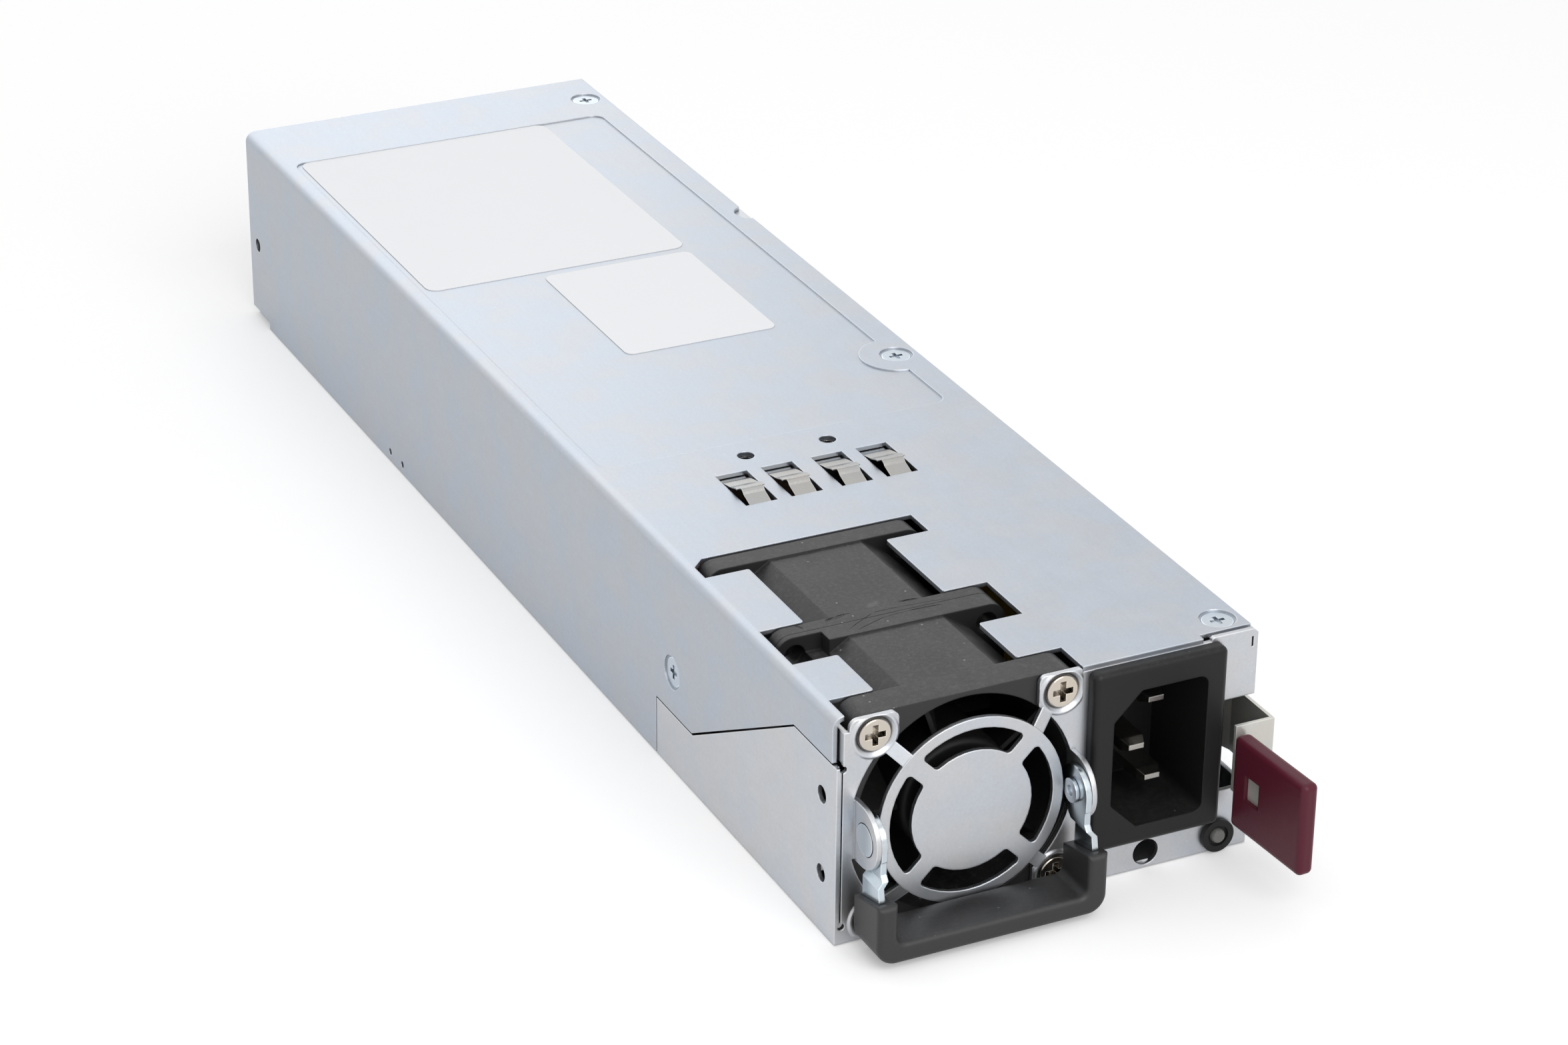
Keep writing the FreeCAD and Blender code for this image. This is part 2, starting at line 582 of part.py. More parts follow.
def front_plate():
    """The front plate, flush with the lid at its screw tabs and beside the inlet."""
    flush = top - size("fan_end_gap")
    tab_left_end = left + size("plate_left_end")
    tab_right_end = left + size("plate_right_end")
    inlet_notch = right - size("plate_corner_wide")
    reach = size("tab_edge_reach")
    tab_foot = fan_z + reach
    outline = [
        (inner_left, 0.0 * gauge), (right, 0.0 * gauge), (right, under_lid), (right - gauge, flush),
        (inlet_notch, flush), (inlet_notch, under_lid), (tab_right_end, under_lid), (tab_right_end, flush),
        (fan_x + reach, flush), (fan_x + reach, tab_foot), (fan_x - reach, tab_foot), (fan_x - reach, flush),
        (tab_left_end, flush), (tab_left_end, under_lid - 1.2), (inner_left, under_lid - 1.2),
    ]
    plate = padded("chassis_front_plate", "Y", outline, front, front + gauge,
                   rounds=[((4, 7), 0.6), ((8, 11), 1.2), ((12,), 1.5)])
    y_span = (front - beyond, front + gauge + beyond)
    deep = gauge + beyond * 2
    edge = guard_radius + size("guard_air_gap")
    left_side = common("plate_left_side", [
        rod("plate_left_round", "Y", edge + size("guard_left_room"), (fan_x, y_span[0], fan_z), deep),
        block("plate_left_half", (left, fan_x), y_span, (0.0 * gauge, top))])
    tabs = [rod(f"plate_tab_{index}", "Y", size("tab_radius"), (x, y_span[0] - 0.5, z), deep + 1.0)
            for index, (x, z) in enumerate(fan_screw_places)]
    eye = size("bail_eye_radius") + 0.3
    openings = [
        rod("plate_round_opening", "Y", edge, (fan_x, y_span[0], fan_z), deep),
        block("plate_tall_opening", (fan_x - reach, fan_x + reach), y_span, (gauge, tab_foot + 0.1)),
        block("plate_eye_room", (ear_faces(-1)[1], ear_faces(1)[1]), y_span, (pivot_z - eye, pivot_z + eye)),
        cut("plate_left_arc", left_side, tabs),
    ]
    return cut("chassis_front_open", plate, openings)


guard_radius = fan_half_wide - size("guard_ring_inset")
guard_front = front - size("guard_dish")


def guard_dish():
    """The finger guard: a slotted disc in front of the plate, and four sloping spokes."""
    disc = rod("guard_disc", "Y", guard_radius, (fan_x, guard_front, fan_z), gauge)
    outer = guard_radius - size("guard_ring_band")
    deep = gauge + 1.0
    start = guard_front - 0.5
    band = rod("guard_slot_band", "Y", outer, (fan_x, start, fan_z), deep)
    core = rod("guard_slot_core", "Y", outer - size("guard_slot_wide"), (fan_x, start, fan_z), deep)
    bridges = [diagonal_bar(f"guard_bridge_{index}", size("guard_slot_bridge"), angle, start, deep)
               for index, angle in enumerate((45, -45))]
    slots = cut("guard_slots_sharp", band, [core] + bridges)
    slots = rounded("guard_slots", slots, size("guard_slot_round"), runs_along("Y"))
    pieces = [cut("guard_slotted", disc, [slots])]
    for index, angle in enumerate((45, 135, 225, 315)):
        pieces.append(spoke(f"guard_spoke_{index}", angle))
    return pieces


def spoke(name, angle):
    """A slanted bar from the guard ring back to a corner tab."""
    thing = doc.addObject("Part::Wedge", name)
    wide = size("guard_spoke_wide") / 2
    low = guard_radius - 0.5
    high = guard_radius + size("guard_air_gap") + 0.8
    dish = size("guard_dish")
    for prop, length in (("Xmin", -wide), ("Xmax", wide), ("X2min", -wide), ("X2max", wide),
                         ("Ymin", low), ("Ymax", high), ("Zmin", -dish), ("Zmax", gauge - dish),
                         ("Z2min", 0.0 * gauge), ("Z2max", gauge)):
        bind(thing, prop, length)
    outward = FreeCAD.Rotation(FreeCAD.Vector(0, 1, 0), -angle)
    stand = FreeCAD.Rotation(FreeCAD.Vector(1, 1, 1), -120)
    return place(thing, fan_x, front, fan_z, outward.multiply(stand))


def screw_rims():
    """Raised rims round the fan screws, cut off flush with the tabs' ends."""
    tall = size("tab_rim_height")
    foot = size("tab_rim_radius")
    rims = [taper(f"tab_rim_{index}", "Y", foot - 0.4, foot, (x, front - tall, z), tall)
            for index, (x, z) in enumerate(fan_screw_places)]
    room_x = (left + size("plate_left_end") + 0.05, left + size("plate_right_end") - 0.05)
    room = block("tab_rim_room", room_x, (front - tall - 1.0, front + 1.0), (gauge, top - size("fan_end_gap")))
    return [common(f"tab_rim_trimmed_{index}", [rim, room]) for index, rim in enumerate(rims)]


def screw_seats():
    """Dished seats of the fan screws."""
    tall = size("tab_rim_height")
    foot = size("tab_rim_radius")
    return [taper(f"tab_seat_{index}", "Y", foot - 0.6, size("fan_screw_head") + 0.1, (x, front - tall, z),
                  tall + size("tab_seat_depth")) for index, (x, z) in enumerate(fan_screw_places)]


def diagonal_bar(name, width, angle, y, deep):
    """A bar through the fan axis, leaning by an angle in the front plane."""
    reach = guard_radius * 1.2
    bar = doc.addObject("Part::Box", name)
    bind(bar, "Length", reach * 2)
    bind(bar, "Width", deep)
    bind(bar, "Height", width)
    turn = math.radians(angle)
    shift_x = reach * math.cos(turn) + width * (0.5 * math.sin(turn))
    shift_z = reach * math.sin(-turn) + width * (0.5 * math.cos(turn))
    return place(bar, fan_x - shift_x, y, fan_z - shift_z,
                 FreeCAD.Rotation(FreeCAD.Vector(0, 1, 0), angle))


def fan_slot_spans():
    """The three stretches in Y where flanges pass through lid and floor."""
    return [
        (front_fan_start - slot_room, front_fan_start + size("first_flange_depth") + slot_room),
        (front_fan_end - size("flange_depth") - size("wire_room"),
         rear_fan_start + size("joint_flange_depth") + slot_room),
        (rear_fan_end - size("flange_depth") - size("rear_slot_lead"), rear_fan_end + slot_room * 2),
    ]


def finish_chassis():
    """Cuts every opening into the folded chassis."""
    blank = build_chassis()
    tools = screw_seats()
    floor_span = (-beyond + 0.0 * gauge, gauge + 0.05)
    across = (fan_x - size("slot_left_reach"), fan_x + size("slot_right_reach"))
    for index, span in enumerate(fan_slot_spans()):
        tools.append(block(f"floor_fan_slot_{index}", across, span, floor_span))
    narrow = (fan_x - size("tongue_left_reach"), fan_x + size("tongue_right_reach"))
    tools.append(block("floor_duct_slot", narrow, (front_fan_start + size("first_flange_depth"), rear_fan_end),
                       floor_span))
    inlet = inlet_outline(size("inlet_body_step"))
    tools.append(block("inlet_cutout", inlet[0], (front - beyond, front + gauge + 0.05), inlet[1]))
    tools.append(rod("vent_cutout", "Y", size("vent_hole_radius"),
                     (left + size("vent_hole_from_left"), front - beyond, size("vent_hole_radius") + 0.5),
                     gauge + beyond + 0.05))
    tools.append(rod("lamp_cutout", "Y", size("lamp_bezel_radius") - 0.8,
                     (lamp_x, front - beyond, lamp_z), gauge + beyond + 0.05))
    slot_z = (size("latch_slot_low"), size("latch_slot_high"))
    tools.append(block("latch_front_slot", (inlet_right - 0.4, right + beyond),
                       (front - beyond, front + gauge + 0.05), slot_z))
    tools.append(block("latch_wall_window", (inner_right - 0.05, right + beyond),
                       (front - beyond, front + size("latch_slot_back")), slot_z))
    tools += seam_tools()
    for index, (x, z) in enumerate(fan_screw_places):
        tools.append(rod(f"fan_screw_hole_{index}", "Y", size("fan_screw_radius") + 0.2,
                         (x, front - beyond, z), gauge + beyond + 0.05))
    tools.append(rod("ear_rivet_holes", "X", size("pivot_pin_radius"),
                     (left, pivot_y, pivot_z), size("case_width")))
    recess = size("ear_recess")
    for side, sign in (("left", -1), ("right", 1)):
        outside = ear_faces(sign)[0]
        start = outside - 1.0 if sign < 0 else outside - recess
        tools.append(rod(f"{side}_ear_recess", "X", size("pivot_head_radius") + 0.15,
                         (start, pivot_y, pivot_z), recess + 1.0))
    for index, (x, y) in enumerate(top_screw_places):
        tools.append(rod(f"top_thread_{index}", "Z", size("cover_screw_radius") + running,
                         (x, y, under_lid - gauge * 2), gauge * 3))
    for index, z in enumerate((10.3, 24.2)):
        tools.append(rod(f"patch_hole_{index}", "X", 1.5, (left - beyond, front + 5.0, z + 0.0 * gauge),
                         gauge + beyond + 0.05))
    for index, y in enumerate(latch_rivet_rows()):
        tools.append(rod(f"wall_rivet_hole_{index}", "X", 1.5, (inner_right - 0.05, y, latch_z), gauge + beyond))
    tools.append(block("tongue_window", (-size("tongue_wide") / 2 - 1.5, size("tongue_wide") / 2 + 1.5),
                       (back - gauge - 0.05, back + beyond), (size("board_height") - 2.5,
                                                             size("board_height") + size("board_gauge") + 2.5)))
    tools += rear_vents()
    return node(cut("chassis_finished", blank, tools), "chassis")


def seam_tools():
    """Narrow cuts in the front face where folded edges meet, with their relief holes."""
    seam_x = left + gauge
    low, high = 3.0 + 0.0 * gauge, size("patch_high") - 0.25
    tools = [block("patch_seam", (seam_x, seam_x + 0.25), (front - beyond, front + 0.5), (low, high))]
    for index, z in enumerate((low, high)):
        tools.append(rod(f"seam_relief_{index}", "Y", 0.6, (seam_x + 0.3, front - beyond, z),
                         beyond + gauge + 0.05))
    tools.append(block("right_corner_seam", (right - 1.15, right - gauge), (front - beyond, front + 0.5),
                       (top - 3.2, top - 1.4)))
    return tools


def rear_vents():
    """Rows of round holes in the back plate, every second row shifted."""
    pitch = size("vent_pitch")
    holes = []
    for row in range(5):
        shift = 0.5 * (row % 2)
        for column in range(-6, 7 - row % 2):
            holes.append(rod(f"vent_{row}_{column + 6}", "Y", size("vent_radius"),
                             (pitch * (column + shift), back - gauge - 0.05, top - 7.0 - pitch * (0.87 * row)),
                             gauge + beyond))
    return holes


# Mains inlet

inlet_left = left + size("inlet_left")
inlet_right = inlet_left + size("inlet_width")
inlet_x = inlet_left + size("inlet_width") / 2
inlet_z = size("socket_height")
inlet_top = top - size("inlet_top_gap")
socket_back = front - size("inlet_proud") + size("socket_depth")
body_back = front + size("inlet_body_depth")


def inlet_outline(step):
    """Spans in X and Z of the bezel, drawn in by a step."""
    return ((inlet_left + step, inlet_right - step),
            (size("inlet_bottom") + step, inlet_top - step))


def pin_block(name, x, z, tip):
    """A flat contact from its tapered tip to the solder tag behind the body."""
    wide = size("pin_wide") / 2
    thick = size("pin_thick") / 2
    nose = thick * 1.6
    shank = block(f"{name}_shank", (x - wide, x + wide), (tip + nose, body_back + 5.0),
                  (z - thick, z + thick))
    point = doc.addObject("Part::Wedge", f"{name}_nose")
    for prop, length in (("Xmin", wide * -0.66), ("Xmax", wide * 0.66), ("X2min", -wide), ("X2max", wide),
                         ("Ymin", 0.0 * nose), ("Ymax", nose), ("Zmin", thick * -0.42), ("Zmax", thick * 0.42),
                         ("Z2min", -thick), ("Z2max", thick)):
        bind(point, prop, length)
    place(point, x, tip, z)
    return fuse(name, [shank, point])


def build_inlet():
    """Bezel and body with a plug cavity, and its three contacts."""
    rim = inlet_outline(0.0 * gauge)
    corners = [(rim[0][0], rim[1][0]), (rim[0][1], rim[1][0]), (rim[0][1], rim[1][1]), (rim[0][0], rim[1][1])]
    bezel = padded("inlet_bezel", "Y", corners, front - size("inlet_proud"), front,
                   rounds=[((0, 1, 2, 3), gauge * 1.5)])
    bezel = rounded("inlet_bezel_soft", bezel, size("inlet_soft"),
                    lambda edge: edge.BoundBox.YMax < float(front - size("inlet_proud")) + 1e-4)
    inner = inlet_outline(size("inlet_body_step") + 0.1)
    body = block("inlet_body", inner[0], (front, body_back), inner[1])
    half_x = size("socket_width") / 2
    half_z = size("socket_tall") / 2
    corner = size("socket_corner_cut")
    outline = [
        (inlet_x - half_x, inlet_z - half_z + corner),
        (inlet_x - half_x + corner, inlet_z - half_z),
        (inlet_x + half_x, inlet_z - half_z),
        (inlet_x + half_x, inlet_z + half_z),
        (inlet_x - half_x + corner, inlet_z + half_z),
        (inlet_x - half_x, inlet_z + half_z - corner),
    ]
    cavity = padded("inlet_cavity", "Y", outline, front - size("inlet_proud") - 0.5, socket_back,
                    rounds=[((2, 3), gauge * 2), ((0, 1, 4, 5), gauge)])
    power_x = inlet_x + size("earth_pin_offset") / 2
    earth_x = power_x - size("earth_pin_offset")
    power = [pin_block(f"power_pin_{index}", power_x, inlet_z + sign * size("pin_spacing") / 2, front + 2.6)
             for index, sign in enumerate((-1, 1))]
    earth = pin_block("earth_pin_blade", earth_x, inlet_z, front + 1.2)
    shell = fuse("inlet_shell", [bezel, body])
    node(cut("inlet_block", shell, [cavity] + power + [earth]), "inlet_housing")
    node(collect("inlet_power_blades", power), "inlet_power_pins")
    node(earth, "inlet_earth_pin")


# Status lamp

lamp_x = left + size("lamp_from_left")
lamp_z = size("lamp_height")


def build_lamp():
    """A round bezel in the front plate with a lens in the middle."""
    rim = rod("lamp_rim", "Y", size("lamp_bezel_radius"), (lamp_x, front - 0.9, lamp_z), 0.9)
    neck = rod("lamp_neck", "Y", size("lamp_bezel_radius") - 0.85, (lamp_x, front, lamp_z), 4.0)
    holder = fuse("lamp_holder", [rim, neck])
    hollow = rod("lamp_hollow", "Y", size("lamp_lens_radius") + 0.5, (lamp_x, front - 1.0, lamp_z), 0.6)
    bore = rod("lamp_bore", "Y", size("lamp_lens_radius"), (lamp_x, front - 1.0, lamp_z), 6.0)
    node(cut("lamp_holder_cut", holder, [hollow, bore]), "lamp_bezel")
    body = rod("lamp_stem", "Y", size("lamp_lens_radius"), (lamp_x, front - 0.4, lamp_z), 5.0)
    dome = doc.addObject("Part::Sphere", "lamp_dome")
    bind(dome, "Radius", size("lamp_lens_radius"))
    place(dome, lamp_x, front - 0.4, lamp_z)
    front_half = block("lamp_dome_half", (lamp_x - 3.0, lamp_x + 3.0), (front - 1.2, front - 0.4),
                       (lamp_z - 3.0, lamp_z + 3.0))
    node(fuse("lamp_light", [body, common("lamp_dome_front", [dome, front_half])]), "lamp_lens")


# Cover: the lid and the left wall in one folded sheet

def fan_cutout():
    """The stepped opening of the lid over the two fans, in one outline."""
    spans = fan_slot_spans()
    wide = (fan_x - size("slot_left_reach"), fan_x + size("slot_right_reach"))
    narrow = (fan_x - size("tongue_left_reach"), fan_x + size("tongue_right_reach"))
    bevel = slot_room * 8
    turns = [front - beyond, spans[0][1], spans[1][0], spans[1][1], spans[2][0]]
    outline = [(wide[0], turns[0]), (wide[0], turns[1]), (narrow[0], turns[1])]
    outline += [(narrow[0], turns[2]), (wide[0], turns[2]), (wide[0], turns[3]), (narrow[0], turns[3])]
    outline += [(narrow[0], turns[4]), (wide[0], turns[4])]
    outline += [(wide[0], spans[2][1] - bevel), (wide[0] + bevel, spans[2][1]), (wide[1], spans[2][1])]
    outline += [(wide[1], turns[4]), (narrow[1], turns[4])]
    outline += [(narrow[1], turns[3]), (wide[1], turns[3]), (wide[1], turns[2]), (narrow[1], turns[2])]
    outline += [(narrow[1], turns[1]), (wide[1], turns[1]), (wide[1], turns[0])]
    tips = [index for index, (x, y) in enumerate(outline) if float(x) in (float(narrow[0]), float(narrow[1]))]
    return padded("lid_fan_cutout", "Z", outline, under_lid - 0.05, top + beyond,
                  rounds=[(tuple(tips), size("tongue_round"))])


def finger_centres():
    """X of each earthing finger: two pairs."""
    centres = []
    for index in range(int(float(size("finger_count")))):
        step = (index // 2) * size("finger_pair_step") + (index % 2) * size("finger_pitch")
        centres.append(left + size("finger_first") + step)
    return centres


window_front = front + size("finger_window_front")
window_back = window_front + size("finger_window_long")
strip_hole_places = [(left + 27.1, window_back + 5.1), (left + 42.5, window_back + 5.1)]


def build_cover():
    """The folded cover with its openings, dimples and shallow recess."""
    lid_right = right - size("lid_edge_step")
    outline = [(left, 0.0 * gauge), (left + gauge, 0.0 * gauge), (left + gauge, under_lid),
               (lid_right, under_lid), (lid_right, top), (left, top)]
    blank = padded("cover_blank", "Y", outline, front + 0.2, back,
                   rounds=[((2,), size("bend_radius") - gauge), ((5,), size("bend_radius"))])
    tools = [fan_cutout()]
    tools.append(block("lid_left_setback", (left - beyond, left + 2.4), (front - beyond, front + 1.7),
                       (size("patch_high"), top + beyond)))
    tools.append(block("lid_right_setback", (left + 63.6, right + beyond), (front - beyond, front + 1.6),
                       (under_lid - 0.05, top + beyond)))
    half = size("finger_window_wide") / 2
    for index, x in enumerate(finger_centres()):
        tools.append(block(f"finger_window_{index}", (x - half, x + half), (window_front, window_back),
                           (under_lid - 0.05, top + beyond)))
    for index, (x, y) in enumerate(strip_hole_places):
        tools.append(rod(f"lid_strip_hole_{index}", "Z", 1.5, (x, y, under_lid - 0.05), gauge + beyond))
    for index, (x, y) in enumerate(top_screw_places):
        tools += dimple_tools(f"lid_screw_{index}", "Z", (x, y, top))
    tools.append(label_recess())
    tools.append(rod("lid_edge_notch", "Z", 3.4, (right + 0.7, front + 186.0, under_lid - 0.05), gauge + beyond))
    tools.append(padded("cover_patch_cut", "X", patch_outline(seam), left - beyond, left + gauge + 0.05))
    tools.append(rod("rear_wall_hole", "X", 1.4, (left - beyond, back - 4.4, 16.3 + 0.0 * gauge),
                     gauge + beyond + 0.05))
    tools += dimple_tools("side_screw", "X", (left, side_screw_y, side_screw_z))
    tools.append(block("rear_corner_notch", (left - beyond, left + gauge + 0.05), (back - 9.5, back + beyond),
                       (-beyond + 0.0 * gauge, 1.6 + 0.0 * gauge)))
    for index, distance in enumerate((182.1, 188.3)):
        tools.append(rod(f"wall_hook_{index}", "X", 0.7, (left - beyond, front + distance, 1.9 + 0.0 * gauge),
                         gauge + beyond + 0.05))
    return node(cut("cover_finished", blank, tools), "top_cover")


def dimple_tools(name, axis, place_at):
    """A round dimple and a countersunk hole under it, from the outer face."""
    depth = size("cover_dimple_depth")
    rest = gauge - depth
    x, y, z = place_at
    if axis == "Z":
        return [
            rod(f"{name}_dimple", "Z", size("cover_dimple_radius"), (x, y, z - depth), depth + beyond),
            taper(f"{name}_sink", "Z", size("cover_screw_radius") + running, size("cover_screw_head") + running,
                  (x, y, z - gauge), rest),
        ]
    return [
        rod(f"{name}_dimple", "X", size("cover_dimple_radius"), (x - beyond, y, z), depth + beyond),
        taper(f"{name}_sink", "X", size("cover_screw_head") + running, size("cover_screw_radius") + running,
              (x + depth, y, z), rest),
    ]


def label_recess():
    """The shallow rectangle pressed into the lid, with room for the middle screw."""
    x_span = (left + size("label_left"), left + size("label_right"))
    y_span = (front + size("label_front"), back - size("label_back_inset"))
    corners = [(x_span[0], y_span[0]), (x_span[1], y_span[0]), (x_span[1], y_span[1]), (x_span[0], y_span[1])]
    field = padded("label_field", "Z", corners, top - size("label_depth"), top + beyond,
                   rounds=[((0, 1, 2, 3), gauge * 3)])
    island = rod("label_island", "Z", size("cover_dimple_radius") + 3.7,
                 (top_screw_x, middle_screw_y, top - 1.0), beyond * 2)
    return cut("label_recess", field, [island])


# Fasteners

def build_fasteners():
    """Countersunk cover screws, fan screws and handle rivets."""
    depth = size("cover_dimple_depth")
    rest = gauge - depth
    screws = []
    for index, (x, y) in enumerate(top_screw_places):
        head = taper(f"top_screw_head_{index}", "Z", size("cover_screw_radius"), size("cover_screw_head"),
                     (x, y, top - gauge), rest)
        shank = rod(f"top_screw_shank_{index}", "Z", size("cover_screw_radius"), (x, y, top - gauge - 3.2), 3.2)
        screws.append(fuse(f"top_screw_{index}", [head, shank]))
    head = taper("side_screw_head", "X", size("cover_screw_head"), size("cover_screw_radius"),
                 (left + depth, side_screw_y, side_screw_z), rest)
    shank = rod("side_screw_shank", "X", size("cover_screw_radius"),
                (left + gauge, side_screw_y, side_screw_z), 3.0)
    screws.append(fuse("side_screw", [head, shank]))
    recessed = []
    for index, screw in enumerate(screws):
        if index < len(top_screw_places):
            x, y = top_screw_places[index]
            cross = cross_recess(f"cover_cross_{index}", "Z", (x, y, top - depth), 2.6)
        else:
            cross = cross_recess(f"cover_cross_{index}", "X", (left + depth, side_screw_y, side_screw_z), 2.6)
        recessed.append(cut(f"cover_screw_{index}", screw, cross))
    node(collect("cover_screw_set", recessed), "cover_screws")
    fan_screws = []
    for index, (x, z) in enumerate(fan_screw_places):
        tall = size("fan_screw_head_height")
        seat = front + size("tab_seat_depth")
        cap = rod(f"fan_screw_cap_{index}", "Y", size("fan_screw_head"), (x, seat - tall, z), tall)
        soft = rounded(f"fan_screw_dome_{index}", cap, float(tall) * 0.4,
                       lambda edge: edge.BoundBox.YMax < float(seat - tall) + 1e-4)
        body = rod(f"fan_screw_shank_{index}", "Y", size("fan_screw_radius"), (x, seat, z), 5.2)
        whole = fuse(f"fan_screw_{index}", [soft, body])
        cross = cross_recess(f"fan_cross_{index}", "Y", (x, seat - tall, z), size("fan_cross_long"))
        fan_screws.append(cut(f"fan_screw_cut_{index}", whole, cross))
    node(collect("fan_screw_set", fan_screws), "fan_screws")


def cross_recess(name, axis, centre, long):
    """Two bars that sink a cross into a screw head."""
    x, y, z = centre
    half = long / 2
    thin = long / 7
    deep = 0.45 if axis != "Y" else 1.3
    bars = []
    for index, (a, b) in enumerate(((half, thin), (thin, half))):
        if axis == "Z":
            bars.append(block(f"{name}_{index}", (x - a, x + a), (y - b, y + b), (z - deep, z + 1.0)))
        elif axis == "X":
            bars.append(block(f"{name}_{index}", (x - 1.0, x + deep), (y - a, y + a), (z - b, z + b)))
        else:
            bars.append(block(f"{name}_{index}", (x - a, x + a), (y - 1.0, y + deep), (z - b, z + b)))
    return [fuse(f"{name}_bars", bars)]


def build_rivets():
    """Two rivets that carry the handle in the ears."""
    rivets = []
    for side, sign in (("left", -1), ("right", 1)):
        outside, inside = ear_faces(sign)
        end = inside - sign * (size("bail_gauge") + 2 * running)
        sunk = outside - sign * size("ear_recess")
        heads = ((sunk, outside + sign * 0.1, size("pivot_head_radius")),
                 (end, end - sign * 0.6, size("pivot_head_radius") - 0.6))
        pieces = []
        for index, (a, b, radius) in enumerate(heads):
            low = a if float(a) < float(b) else b
            high = b if float(a) < float(b) else a
            pieces.append(rod(f"{side}_rivet_head_{index}", "X", radius, (low, pivot_y, pivot_z), high - low))
        low, high = (sunk, end) if sign < 0 else (end, sunk)
        pieces.append(rod(f"{side}_rivet_pin", "X", size("pivot_pin_radius"), (low, pivot_y, pivot_z), high - low))
        whole = fuse(f"{side}_rivet", pieces)
        tip = end - sign * 1.0 if sign > 0 else end + 0.2
        rivets.append(cut(f"{side}_rivet_hollowed", whole,
                          [rod(f"{side}_rivet_dimple", "X", 0.9, (tip, pivot_y, pivot_z), 0.8)]))
    node(collect("rivet_pair", rivets), "handle_rivets")


# Handle: a flat steel strap bent to a U, its bar moulded into a plastic grip

def build_handle():
    """Strap with two eyes, and the grip moulded round its lower part."""
    strap_gauge = size("bail_gauge")
    bar_low = size("grip_bottom") + size("grip_wall") / 2 - strap_gauge / 2
    knee_low = size("bail_knee")
    knee_high = knee_low + size("bail_knee_rise")
    eye = size("bail_eye_radius")
    strap_back = front - size("bail_back")
    strap_front = front - size("bail_front")
    neck = front - size("bail_neck")
    outline = [
        (strap_back, bar_low), (strap_back, knee_high), (strap_back + 0.9, knee_high + 0.8),
        (pivot_y + eye * 0.5, pivot_z), (pivot_y - eye, pivot_z), (pivot_y - eye + 0.1, pivot_z - eye * 0.52),
        (neck, knee_high + 2.9), (neck, knee_high + 0.9), (neck - 0.7, knee_low + 0.9),
        (strap_front, knee_low - 2.1),
        (strap_front, bar_low),
    ]
    arms = []
    bar_span = []
    for side, sign in (("left", -1), ("right", 1)):
        near = ear_faces(sign)[1] - sign * running
        far = near - sign * strap_gauge
        upper = (near, far) if sign < 0 else (far, near)
        step = sign * size("bail_joggle")
        lower = (upper[0] + step, upper[1] + step)
        bent = padded(f"{side}_strap_bend", "Y", [
            (lower[0], bar_low), (lower[1], bar_low), (lower[1], knee_low), (upper[1], knee_high),
            (upper[1], pivot_z + eye), (upper[0], pivot_z + eye), (upper[0], knee_high), (lower[0], knee_low)],
            strap_front - 1.0, pivot_y + eye + 1.0)
        reach = (upper[0] - 2.0, upper[1] + 2.0)
        shape = fuse(f"{side}_strap_shape", [
            padded(f"{side}_strap_side", "X", outline, reach[0], reach[1]),
            rod(f"{side}_strap_eye", "X", eye, (reach[0], pivot_y, pivot_z), reach[1] - reach[0])])
        arms.append(common(f"{side}_strap_arm", [bent, shape]))
        bar_span.append(lower[0] if sign < 0 else lower[1])
    bar = block("strap_bar", tuple(bar_span), (strap_front, strap_back), (bar_low, bar_low + strap_gauge))
    strap = fuse("handle_strap", arms + [bar])
    bore = rod("strap_eye_bore", "X", size("pivot_pin_radius") + running,
               (handle_x - size("ear_half_span"), pivot_y, pivot_z), size("ear_half_span") * 2)
    strap = node(cut("handle_strap_bored", strap, [bore]), "handle_bail")
    node(cut("grip_moulding", build_grip(), [strap]), "handle_grip")


def build_grip():
    """A rounded U whose legs end in a slope."""
    wall = size("grip_wall")
    half = size("grip_half_width")
    low = size("grip_bottom")
    high = low + size("grip_leg_height")
    y_span = (front - size("grip_front"), front - size("grip_back"))
    outline = [(handle_x - half, high), (handle_x - half, low), (handle_x + half, low), (handle_x + half, high),
               (handle_x + half - wall, high), (handle_x + half - wall, low + wall),
               (handle_x - half + wall, low + wall), (handle_x - half + wall, high)]
    grip = padded("grip_block", "Y", outline, y_span[0], y_span[1],
                  rounds=[((1, 2), wall * 0.95), ((5, 6), wall * 0.4)])
    fall = size("grip_leg_fall")
    slope = padded("grip_end_slope", "X", [
        (y_span[0], high), (y_span[1], high - fall), (y_span[1] + 1.0, high - fall),
        (y_span[1] + 1.0, high + 1.0), (y_span[0], high + 1.0)], handle_x - half - 1.0, handle_x + half + 1.0)
    sloped = cut("grip_sloped", grip, [slope])
    return rounded("grip_soft", sloped, size("grip_soft"), grip_front_edges)


def grip_front_edges(edge):
    """Edges that lie in the front face of the grip."""
    return edge.BoundBox.YMax < float(front - size("grip_front")) + 1e-4


# Release latch: a spring strip along the right wall with a catch, and its tab

latch_z = (size("latch_bottom") + size("latch_top")) / 2
strip_out = inner_right - size("latch_wall_gap")
strip_in = strip_out - size("latch_gauge")
root_y = front + size("latch_root")
catch_out = right + size("latch_barb")
catch_in = catch_out - size("latch_gauge")
fold_back = front - size("latch_lead")
fold_front = fold_back - size("latch_gauge")
tab_left = right - size("latch_tab_inset")
tab_back = fold_front - 0.3
core_left = tab_left + size("tab_skin")


def latch_rivet_rows():
    """Y of the two rivets in the fixed end of the strip."""
    start = front + size("latch_root") + size("latch_anchor_length") * 0.25
    return [start, start + size("latch_anchor_length") * 0.5]


def leaned(x, y, along, across):
    """A point on the leaning tab: so far forward and so far to the right."""
    lean = math.radians(float(size("tab_lean")))
    return (x + along * math.sin(lean) + across * math.cos(lean),
            y - along * math.cos(lean) + across * math.sin(lean))


